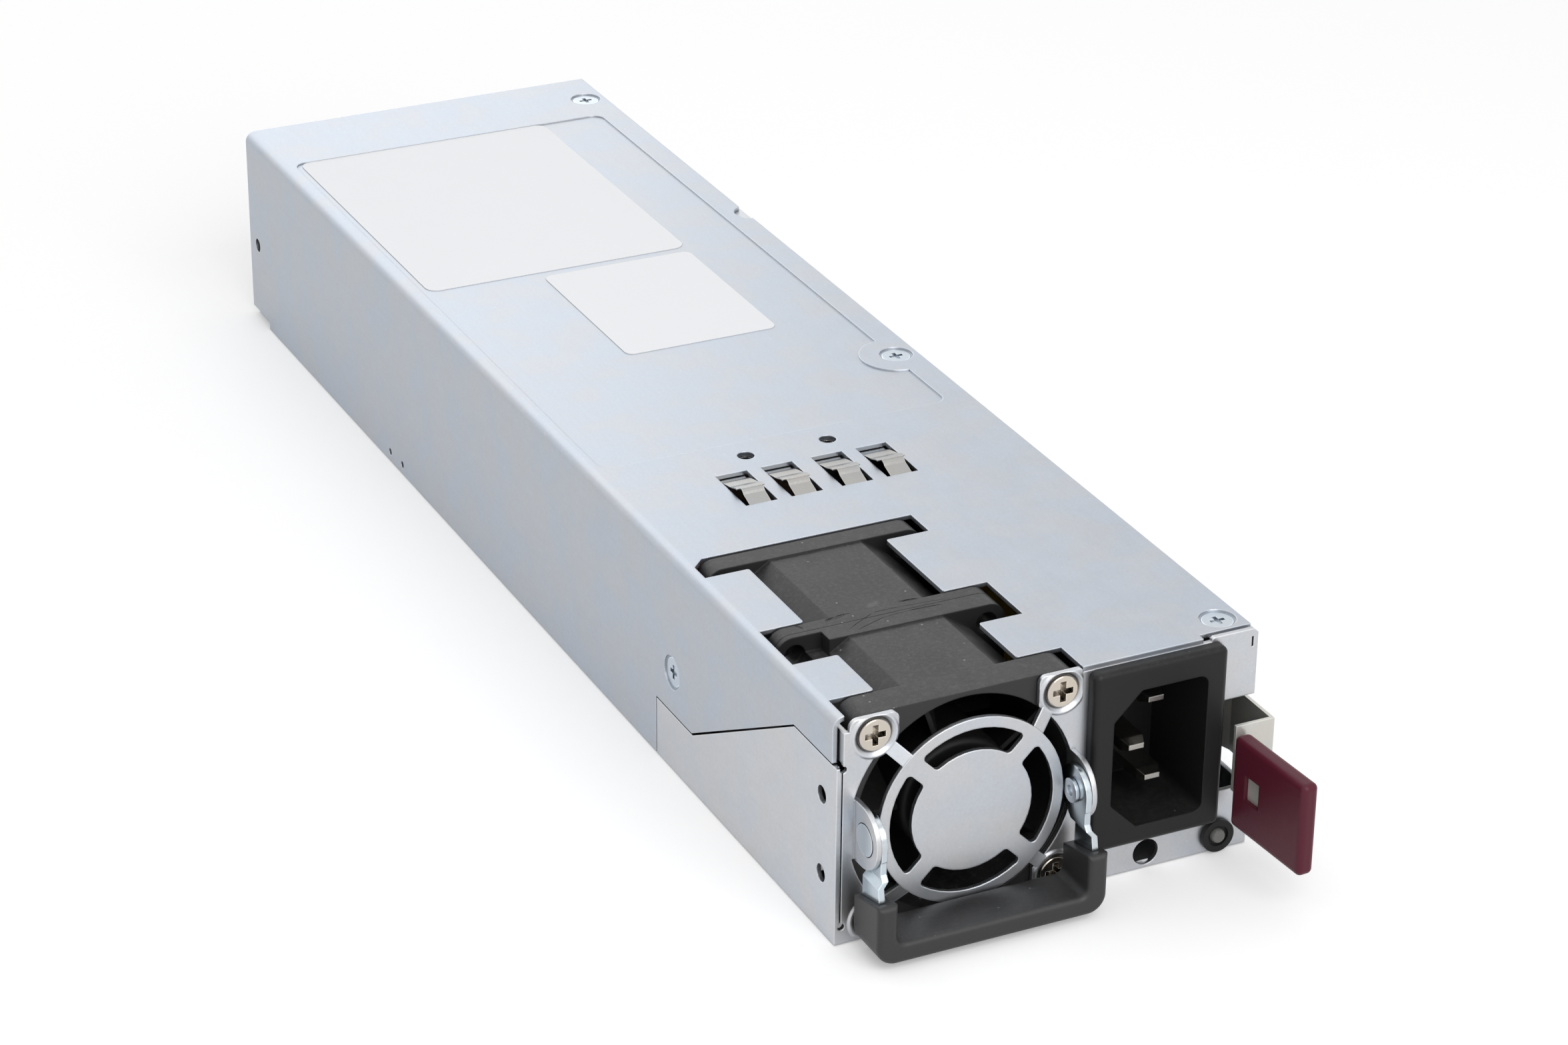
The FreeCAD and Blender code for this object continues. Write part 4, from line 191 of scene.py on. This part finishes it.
def make_zinc_group():
    """Coated sheet: clouds, grain and bright dots, painted shade in corners and recesses, a painted edge
    highlight that is partly rubbed wear, a drift of warm and cool.
    """
    group, entry, leave = group_with(
        "galvanised_look",
        [("Colour", "colour", (0.7, 0.7, 0.7, 1.0)), ("Cloud", "value", 0.06), ("Grain", "value", 0.04),
         ("Roughness", "value", 0.35), ("Painted shade reach", "value", 0.0006)],
        [("Colour", "colour"), ("Roughness", "value"), ("Height", "value")])
    coords = object_coordinates(group)
    cloud = centred(group, noise(group, coords, scale=190.0, detail=4.0, roughness=0.6, distortion=0.4))
    grain = centred(group, noise(group, coords, scale=2300.0, roughness=0.6))
    drawn_out = group.nodes.new("ShaderNodeMapping")
    drawn_out.inputs["Scale"].default_value = (1.0, 0.1, 1.0)
    group.links.new(coords, drawn_out.inputs["Vector"])
    rolled = centred(group, noise(group, drawn_out.outputs["Vector"], scale=1500.0, roughness=0.6))
    dots, _ = spots(group, coords, scale=330.0)
    level = weighted_sum(group, 1.0, [(cloud, entry.outputs["Cloud"]), (grain, entry.outputs["Grain"]),
                                      (rolled, 0.05), (dots, 0.07)])

    # Painted shade: the colour is darkened in corners, creases and recesses, where shade falls.
    corner_shade = group.nodes.new("ShaderNodeAmbientOcclusion")
    corner_shade.samples = 6
    group.links.new(entry.outputs["Painted shade reach"], corner_shade.inputs["Distance"])
    level = maths(group, "MULTIPLY", level, ramp(group, corner_shade.outputs["AO"], [(0.2, 0.22), (0.85, 1.0)]))

    # Painted edge highlight, partly rubbed wear: the colour is brightened along edges, where the rounded
    # normals part from the true ones.
    own_normal = group.nodes.new("ShaderNodeNewGeometry").outputs["Normal"]
    alike = vector_maths(group, "DOT_PRODUCT", soft_edges(group, radius=0.0003, samples=6), own_normal)
    edge_highlight_and_rub = ramp(group, maths(group, "SUBTRACT", 1.0, alike), [(0.01, 0.0), (0.2, 1.0)])
    level = maths(group, "MULTIPLY", level, weighted_sum(group, 1.0, [(edge_highlight_and_rub, 0.45)]))

    drift = ramp(group, noise(group, coords, scale=120.0), [(0.35, 0.0), (0.65, 1.0)])
    warmth = blend(group, drift, (0.985, 1.0, 1.02, 1.0), (1.03, 1.0, 0.975, 1.0))
    tinted = vector_maths(group, "MULTIPLY", entry.outputs["Colour"], warmth)
    group.links.new(vector_maths(group, "SCALE", tinted, level), leave.inputs["Colour"])
    rough = weighted_sum(group, entry.outputs["Roughness"], [(cloud, 0.12)])
    group.links.new(rough, leave.inputs["Roughness"])
    group.links.new(maths(group, "ADD", grain, rolled), leave.inputs["Height"])
    return group


def make_grain_group():
    """Fine moulded grain for plastics, with faint dust and rare pale motes on what faces up."""
    group, entry, leave = group_with(
        "moulded_grain",
        [("Colour", "colour", (0.03, 0.03, 0.03, 1.0)), ("Dust", "value", 0.3), ("Roughness", "value", 0.5),
         ("Grain scale", "value", 2600.0)],
        [("Colour", "colour"), ("Roughness", "value"), ("Height", "value")])
    coords = object_coordinates(group)
    fine = noise(group, coords, scale=entry.outputs["Grain scale"], detail=1.0)
    wide = noise(group, coords, scale=140.0, detail=4.0, roughness=0.65)
    patches = ramp(group, wide, [(0.4, 0.0), (0.75, 1.0)])
    powder = ramp(group, noise(group, coords, scale=3600.0, roughness=0.6), [(0.5, 0.0), (0.8, 1.0)])
    clumps = ramp(group, noise(group, coords, scale=1300.0, roughness=0.6), [(0.48, 0.0), (0.75, 1.0)])
    motes, cell_colour = spots(group, coords, scale=420.0)
    chance = group.nodes.new("ShaderNodeSeparateColor")
    group.links.new(cell_colour, chance.inputs["Color"])
    motes = maths(group, "MULTIPLY", motes, ramp(group, chance.outputs["Red"], [(0.5, 0.0), (0.52, 1.0)]))

    facing = group.nodes.new("ShaderNodeSeparateXYZ")
    group.links.new(group.nodes.new("ShaderNodeNewGeometry").outputs["Normal"], facing.inputs["Vector"])
    upward = ramp(group, facing.outputs["Z"], [(0.3, 0.0), (0.95, 1.0)])
    settled = weighted_sum(group, 0.0, [(patches, 0.08), (powder, 0.12), (clumps, 0.10), (motes, 0.9)])
    settled = maths(group, "MULTIPLY", maths(group, "MULTIPLY", settled, upward), entry.outputs["Dust"])
    dust_colour = (0.5, 0.49, 0.47, 1.0)
    group.links.new(blend(group, settled, entry.outputs["Colour"], dust_colour), leave.inputs["Colour"])
    rough = weighted_sum(group, entry.outputs["Roughness"], [(settled, 0.3), (centred(group, wide), 0.12)])
    group.links.new(rough, leave.inputs["Roughness"])
    group.links.new(fine, leave.inputs["Height"])
    return group


# Marks on the tops of the fan frames where the two fans meet, in millimetres from the case's left and front:
# painted shade for the hollows and creases there, and one pale dust spot.
# middle, half length, half width, angle in degrees, depth of the painted shade (below zero for pale dust).
JOINT_SHADE_AND_DUST = [
    ((15.4, 30.9), 2.7, 0.75, 15.7, 0.9),
    ((28.7, 31.4), 2.1, 0.65, -10.0, 0.85),
    ((29.3, 27.9), 3.1, 0.3, -3.0, 0.9),
    ((18.3, 28.2), 3.3, 0.2, 30.0, 0.6),
    ((23.4, 29.85), 2.5, 0.18, 0.0, 0.6),
    ((29.7, 29.5), 4.2, 0.14, -4.0, 0.5),
    ((19.2, 26.7), 3.2, 0.18, 20.7, 0.6),
    ((24.1, 27.9), 2.3, 0.14, 5.0, 0.6),
    ((8.3, 30.4), 0.9, 0.25, -70.0, 0.9),
    ((22.5, 32.9), 1.7, 0.9, 20.0, -0.9),
]
JOINT_TOP = 38.8
JOINT_REACH = 1.5
DEEPEST_SHADE = 0.92
HOLLOW_DEPTH = 0.0012


def make_joint_group():
    """Painted shade for small hollows and creases, which a bump also sinks, and a pale dusty spot, around the
    joint of the two fans.
    """
    group, _, leave = group_with("fan_joint_marks", [], [("Shade", "value"), ("Height", "value")])
    coords = object_coordinates(group)
    ragged = centred(group, noise(group, coords, scale=900.0, roughness=0.6))
    masks = []
    for (from_left, from_front), half_long, half_wide, angle, depth in JOINT_SHADE_AND_DUST:
        local = group.nodes.new("ShaderNodeMapping")
        local.vector_type = "TEXTURE"
        local.inputs["Location"].default_value = at(from_left, from_front, JOINT_TOP)
        local.inputs["Rotation"].default_value = (0.0, 0.0, math.radians(angle))
        local.inputs["Scale"].default_value = (half_long * MM, half_wide * MM, JOINT_REACH * MM)
        group.links.new(coords, local.inputs["Vector"])
        reach = vector_maths(group, "LENGTH", local.outputs["Vector"])
        shade_and_dust_mark = weighted_sum(group, reach, [(ragged, 0.5)])
        masks.append((ramp(group, shade_and_dust_mark, [(0.55, 1.0), (1.0, 0.0)]), depth))
    # Positive depths darken the colour as painted shade in the hollows and creases; negative ones lighten it
    # as pale dust.
    total = maths(group, "MINIMUM", weighted_sum(group, 0.0, masks), DEEPEST_SHADE)
    sunk = maths(group, "MAXIMUM", total, 0.0)
    group.links.new(maths(group, "SUBTRACT", 1.0, total), leave.inputs["Shade"])
    group.links.new(maths(group, "SUBTRACT", 1.0, sunk), leave.inputs["Height"])
    return group


zinc_group = make_zinc_group()
grain_group = make_grain_group()
joint_group = make_joint_group()


def make_look(name, group, inputs, metallic, relief, edge, settings, marks=None):
    """A material from a look group, with a fine relief, edges that look rounded, and any marks of painted
    shade and dust.
    """
    material = bpy.data.materials.new(name)
    tree, output = new_tree(material)
    look = tree.nodes.new("ShaderNodeGroup")
    look.node_tree = group
    for label, setting in inputs.items():
        look.inputs[label].default_value = setting
    colour = look.outputs["Colour"]
    normal = soft_edges(tree, edge, samples=4)
    if marks:
        # Painted shade of the joint's hollows and creases, and pale dust, scale the colour.
        shade_and_dust_mark = tree.nodes.new("ShaderNodeGroup")
        shade_and_dust_mark.node_tree = marks
        colour = vector_maths(tree, "SCALE", colour, shade_and_dust_mark.outputs["Shade"])
        normal = bumped(tree, shade_and_dust_mark.outputs["Height"], 1.0, HOLLOW_DEPTH, normal)
    strength, depth = relief
    normal = bumped(tree, look.outputs["Height"], strength, depth, normal)
    shader = tree.nodes.new("ShaderNodeBsdfPrincipled")
    shader.inputs["Metallic"].default_value = metallic
    for label, setting in settings.items():
        shader.inputs[label].default_value = setting
    tree.links.new(colour, shader.inputs["Base Color"])
    tree.links.new(look.outputs["Roughness"], shader.inputs["Roughness"])
    tree.links.new(normal, shader.inputs["Normal"])
    tree.links.new(shader.outputs["BSDF"], output.inputs["Surface"])
    return material


def sheet_metal(name, colour, metallic=1.0, roughness=0.38, cloud=0.07, grain=0.05, edge=0.0003,
                corner_shade=0.0006):
    """Galvanised, plated or bare metal."""
    inputs = {"Colour": (*colour, 1.0), "Cloud": cloud, "Grain": grain, "Roughness": roughness,
              "Painted shade reach": corner_shade}
    return make_look(name, zinc_group, inputs, metallic, (0.25, 0.00002), edge, {})


def moulding(name, colour, roughness=0.5, dust=0.3, grain=0.00003, scale=2600.0, edge=0.0003, specular=0.5,
             marks=None):
    """Moulded plastic, paper or ceramic."""
    inputs = {"Colour": (*colour, 1.0), "Dust": dust, "Roughness": roughness, "Grain scale": scale}
    settings = {"Specular IOR Level": specular}
    return make_look(name, grain_group, inputs, 0.0, (0.35, grain), edge, settings, marks)


GALVANISED = {"cloud": 0.10, "grain": 0.14}
FAN_BLACK = {"colour": (0.020, 0.020, 0.021), "roughness": 0.42, "specular": 0.4}
LOW_GLOSS = 0.25

# Finishes by material slot. Edges and the reach of the painted corner shade are in metres, and so is the
# grain of a moulding.
METAL_SLOTS = {
    "galvanised_sheet": dict(colour=(0.485, 0.52, 0.57), **GALVANISED),
    # The nickel screws' painted shade reaches far into their cross recesses.
    "nickel_screw": dict(colour=(0.62, 0.57, 0.50), roughness=0.2, cloud=0.05, grain=0.03, edge=0.00015,
                         corner_shade=0.0014),
    "bright_steel": dict(colour=(0.55, 0.55, 0.55), roughness=0.25, cloud=0.05, grain=0.03, edge=0.0001),
    "copper_winding": dict(colour=(0.45, 0.17, 0.06), roughness=0.35, cloud=0.12, grain=0.3, edge=0.0001),
    "zinc_plate": dict(colour=(0.58, 0.65, 0.70), roughness=0.22, cloud=0.25, grain=0.06),
    "spring_steel": dict(colour=(0.40, 0.40, 0.39), roughness=0.26, cloud=0.1, edge=0.0001),
    "tinned_brass": dict(colour=(0.42, 0.42, 0.40), roughness=0.24, cloud=0.05, grain=0.03, edge=0.0002),
    "gold_contact": dict(colour=(0.66, 0.46, 0.16), roughness=0.22, cloud=0.08, grain=0.04, edge=0.0001),
    "heatsink": dict(colour=(0.6, 0.61, 0.62), cloud=0.06, grain=0.06, edge=0.0002),
}
MOULDED_SLOTS = {
    "fan_plastic": dict(dust=0.5, **FAN_BLACK),
    "impeller_plastic": dict(colour=(0.008, 0.008, 0.008), dust=0.1, specular=LOW_GLOSS),
    "grip_plastic": dict(colour=(0.022, 0.022, 0.023), roughness=0.46, dust=0.2, grain=0.00006, scale=2200.0,
                         edge=0.0005),
    "tab_plastic": dict(colour=(0.090, 0.011, 0.024), roughness=0.36, dust=0.05, scale=1800.0, edge=0.0004,
                        specular=LOW_GLOSS),
    "inlet_plastic": dict(colour=(0.012, 0.012, 0.012), roughness=0.38, dust=0.2, specular=LOW_GLOSS),
    "lens_plastic": dict(colour=(0.16, 0.16, 0.15), roughness=0.14, dust=0.05, grain=0.000003, scale=1500.0),
    "circuit_board": dict(colour=(0.012, 0.085, 0.035), roughness=0.3, dust=0.2, grain=0.00001, scale=1200.0,
                          edge=0.0001),
    "film": dict(colour=(0.03, 0.03, 0.035), roughness=0.4, dust=0.1, grain=0.000006, scale=1500.0,
                 edge=0.0001),
    "ceramic": dict(colour=(0.75, 0.72, 0.66), roughness=0.3, dust=0.1, grain=0.00001),
    "film_box": dict(colour=(0.65, 0.42, 0.04), roughness=0.35, dust=0.15, grain=0.00001),
    "component_black": dict(colour=(0.02, 0.02, 0.02), roughness=0.45, grain=0.00002),
    "can_sleeve": dict(colour=(0.012, 0.014, 0.03), roughness=0.25, dust=0.2, grain=0.000006),
    "ferrite": dict(colour=(0.03, 0.03, 0.033), roughness=0.6, grain=0.00004),
    "winding_tape": dict(colour=(0.62, 0.48, 0.05), roughness=0.3, dust=0.1, grain=0.00001, scale=900.0),
}
SLOT_LOOKS = {slot: sheet_metal(f"{slot}_look", **finish) for slot, finish in METAL_SLOTS.items()}
SLOT_LOOKS.update({slot: moulding(f"{slot}_look", **finish) for slot, finish in MOULDED_SLOTS.items()})

# Pieces whose finish differs from the rest of their slot.
# The fan frames carry painted shade in the hollows and creases at their joint, and a pale dust spot.
fan_frame_look = moulding("fan_frame_look", dust=0.6, marks=joint_group, **FAN_BLACK)
NODE_LOOKS = {
    "front_fan_frame": fan_frame_look,
    "rear_fan_frame": fan_frame_look,
    "chassis": sheet_metal("chassis_sheet_look", (0.58, 0.60, 0.63), **GALVANISED),
    "cover_screws": sheet_metal("zinc_screw_look", (0.56, 0.62, 0.68), roughness=0.3, cloud=0.1,
                                edge=0.00015),
    "latch_spring": sheet_metal("latch_steel_look", (0.62, 0.62, 0.58), metallic=0.55, roughness=0.32,
                                cloud=0.08, edge=0.0001, corner_shade=0.0001),
    "handle_rivets": sheet_metal("rivet_look", (0.60, 0.66, 0.72), roughness=0.3, cloud=0.1, edge=0.00015),
}

slot_of = {entry["node"]: entry["material_slot"] for entry in frame["record"]["subparts"]}
for node_name, thing in nodes.items():
    look = NODE_LOOKS.get(node_name, SLOT_LOOKS[slot_of[node_name]])
    if thing.material_slots:
        for holder in thing.material_slots:
            holder.material = look
    else:
        thing.data.materials.append(look)

label_paper = moulding("label_paper_look", (0.875, 0.885, 0.91), roughness=0.42, dust=0.0, grain=0.000006,
                       scale=3000.0, edge=0.00005, specular=LOW_GLOSS)


# Making pieces

def finish_piece(name, mesh, material, body):
    """Turns a bmesh into an object at the origin that rides on a body."""
    data = bpy.data.meshes.new(name)
    mesh.to_mesh(data)
    mesh.free()
    thing = bpy.data.objects.new(name, data)
    bpy.context.scene.collection.objects.link(thing)
    data.materials.append(material)
    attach(thing, body)
    return thing


def upright_edges(mesh):
    """Edges of a flat slab that stand along Z."""
    return [edge for edge in mesh.edges
            if (edge.verts[0].co - edge.verts[1].co).cross(Vector((0, 0, 1))).length < 1e-7]


def add_slab(mesh, points, step):
    """A flat outline grown along a step into a closed slab."""
    face = mesh.faces.new([mesh.verts.new(point) for point in points])
    grown = bmesh.ops.extrude_face_region(mesh, geom=[face])
    moved = [item for item in grown["geom"] if isinstance(item, bmesh.types.BMVert)]
    bmesh.ops.translate(mesh, vec=step, verts=moved)


LABEL_THICK = 0.12


def make_label(name, left, front, right, back, rounding):
    """A blank label lying in the lid's recess."""
    mesh = bmesh.new()
    corners = [(left, front), (right, front), (right, back), (left, back)]
    add_slab(mesh, [at(x, y, LID - LABEL_RECESS) for x, y in corners], (0, 0, LABEL_THICK * MM))
    bmesh.ops.recalc_face_normals(mesh, faces=mesh.faces)
    bmesh.ops.bevel(mesh, geom=upright_edges(mesh), offset=rounding * MM, offset_type="OFFSET", segments=6,
                    profile=0.5, affect="EDGES", material=-1)
    return finish_piece(name, mesh, label_paper, "case")


# Top line of a finger, in millimetres from the front and the bottom. The shoulder starts with the tail under
# the lid and climbs to the crest, and the tongue falls from the crest to the front.
FINGER_SHOULDER = [(84.8, 38.05), (83.0, 38.05), (82.5, 38.45), (81.6, 38.75), (79.0, 39.3), (77.6, 39.85),
                   (76.9, 40.05), (76.3, 40.1)]
FINGER_TONGUE = [(77.2, 39.82), (76.35, 40.0), (75.95, 39.92), (75.6, 39.7), (75.25, 39.35), (72.3, 38.35)]
# How far each part reaches to the left and right of the finger's middle.
SHOULDER_SIDES = (-2.6, 2.5)
TONGUE_SIDES = (-1.85, 2.1)
FINGER_GAUGE = 0.25
FINGER_MIDDLES = (21.9, 30.3, 39.65, 48.05)


def make_finger(number, middle):
    """An earthing finger: a full width shoulder, then a narrower tongue."""
    mesh = bmesh.new()
    for line, (low, high) in ((FINGER_SHOULDER, SHOULDER_SIDES), (FINGER_TONGUE, TONGUE_SIDES)):
        under = [(y, z - FINGER_GAUGE) for y, z in reversed(line)]
        points = [at(middle + low, y, z) for y, z in line + under]
        add_slab(mesh, points, ((high - low) * MM, 0, 0))
    bmesh.ops.recalc_face_normals(mesh, faces=mesh.faces)
    steel = SLOT_LOOKS["spring_steel"]
    finger = finish_piece(f"bowed_finger_{number}", mesh, steel, f"finger_{number}")
    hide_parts(f"spring_finger_{number}")


for finger_number, finger_middle in enumerate(FINGER_MIDDLES, start=1):
    make_finger(finger_number, finger_middle)
make_label("rating_label", 4.1, 176.0, 55.8, 245.0, rounding=2.2)
make_label("serial_label", 25.8, 135.4, 55.3, 173.9, rounding=1.6)


# Stage, light and camera

FLOOR_SIZE = 6.0
FLOOR_DROP = 0.0002
FLOOR_GLOW = 0.16
FLOOR_GLOW_FOR_CAMERA = 0.1
SURROUNDINGS_SEEN = 1.0
SURROUNDINGS_LIGHT = 0.55
WHITE = (1.0, 1.0, 1.0, 1.0)


def seen_directly(tree, path):
    """One where the camera, a reflection or a view through glass looks at the surface."""
    mirrored = maths(tree, "MAXIMUM", path.outputs["Is Camera Ray"], path.outputs["Is Glossy Ray"])
    return maths(tree, "MAXIMUM", mirrored, path.outputs["Is Transmission Ray"])


def make_stage():
    """A pale floor that shows as plain white and keeps the object's shadow."""
    mesh = bmesh.new()
    bmesh.ops.create_grid(mesh, x_segments=1, y_segments=1, size=FLOOR_SIZE)
    bmesh.ops.translate(mesh, vec=(0, 0, -FLOOR_DROP), verts=mesh.verts)
    data = bpy.data.meshes.new("floor")
    mesh.to_mesh(data)
    mesh.free()
    floor = bpy.data.objects.new("floor", data)
    bpy.context.scene.collection.objects.link(floor)
    material = bpy.data.materials.new("floor_look")
    tree, output = new_tree(material)
    shader = tree.nodes.new("ShaderNodeBsdfPrincipled")
    shader.inputs["Base Color"].default_value = (0.85, 0.85, 0.85, 1.0)
    shader.inputs["Roughness"].default_value = 0.9
    shader.inputs["Specular IOR Level"].default_value = 0.0
    shader.inputs["Emission Color"].default_value = WHITE
    path = tree.nodes.new("ShaderNodeLightPath")
    glow = weighted_sum(tree, 0.0, [(seen_directly(tree, path), FLOOR_GLOW),
                                    (path.outputs["Is Camera Ray"], FLOOR_GLOW_FOR_CAMERA)])
    tree.links.new(glow, shader.inputs["Emission Strength"])
    tree.links.new(shader.outputs["BSDF"], output.inputs["Surface"])
    data.materials.append(material)


def make_world():
    """Even white surroundings, brighter to look at than the light they give."""
    world = bpy.data.worlds.new("studio")
    bpy.context.scene.world = world
    world.use_nodes = True
    tree = world.node_tree
    tree.nodes.clear()
    output = tree.nodes.new("ShaderNodeOutputWorld")
    chosen = tree.nodes.new("ShaderNodeMixShader")
    path = tree.nodes.new("ShaderNodeLightPath")
    tree.links.new(seen_directly(tree, path), chosen.inputs["Fac"])
    for socket, strength in ((chosen.inputs[1], SURROUNDINGS_LIGHT), (chosen.inputs[2], SURROUNDINGS_SEEN)):
        background = tree.nodes.new("ShaderNodeBackground")
        background.inputs["Color"].default_value = WHITE
        background.inputs["Strength"].default_value = strength
        tree.links.new(background.outputs["Background"], socket)
    tree.links.new(chosen.outputs["Shader"], output.inputs["Surface"])


def make_lamp(name, place, target, size, power):
    """A square soft box aimed at a point, left out of the camera's view."""
    data = bpy.data.lights.new(name, "AREA")
    data.shape = "SQUARE"
    data.size = size
    data.energy = power
    lamp = bpy.data.objects.new(name, data)
    lamp.location = place
    lamp.rotation_euler = (Vector(target) - Vector(place)).to_track_quat("-Z", "Y").to_euler()
    lamp.visible_camera = False
    bpy.context.scene.collection.objects.link(lamp)


# The camera as solved from the case's edges in the photograph.
CAMERA_PLACE = (-0.28921, -0.62896, 0.35193)
CAMERA_SIDEWAYS = (0.90009, -0.43561, 0.00934)
CAMERA_UPWARD = (0.18780, 0.40721, 0.89382)
CAMERA_BACKWARD = (-0.39316, -0.80276, 0.44833)
CAMERA_LENS = 97.99


def make_camera():
    """The photograph's viewpoint."""
    data = bpy.data.cameras.new("photo_camera")
    data.sensor_fit = "HORIZONTAL"
    data.sensor_width = 36.0
    data.lens = CAMERA_LENS
    data.clip_start = 0.01
    data.clip_end = 50.0
    camera = bpy.data.objects.new("photo_camera", data)
    turn = Matrix((CAMERA_SIDEWAYS, CAMERA_UPWARD, CAMERA_BACKWARD)).transposed()
    camera.matrix_world = Matrix.Translation(CAMERA_PLACE) @ turn.to_4x4()
    bpy.context.scene.collection.objects.link(camera)
    bpy.context.scene.camera = camera


make_stage()
make_world()
make_lamp("top_softbox", place=(-0.1, 0.1, 1.1), target=(0.0, 0.0, 0.0), size=1.2, power=1.5)
make_lamp("front_softbox", place=(0.0, -0.8, 0.6), target=(0.0, -0.15, 0.0), size=0.7, power=4.4)
make_lamp("rear_softbox", place=(0.02, 0.88, 0.42), target=(0.0, 0.0, 0.02), size=0.8, power=1.3)
make_camera()
bpy.context.scene.view_settings.view_transform = "Standard"
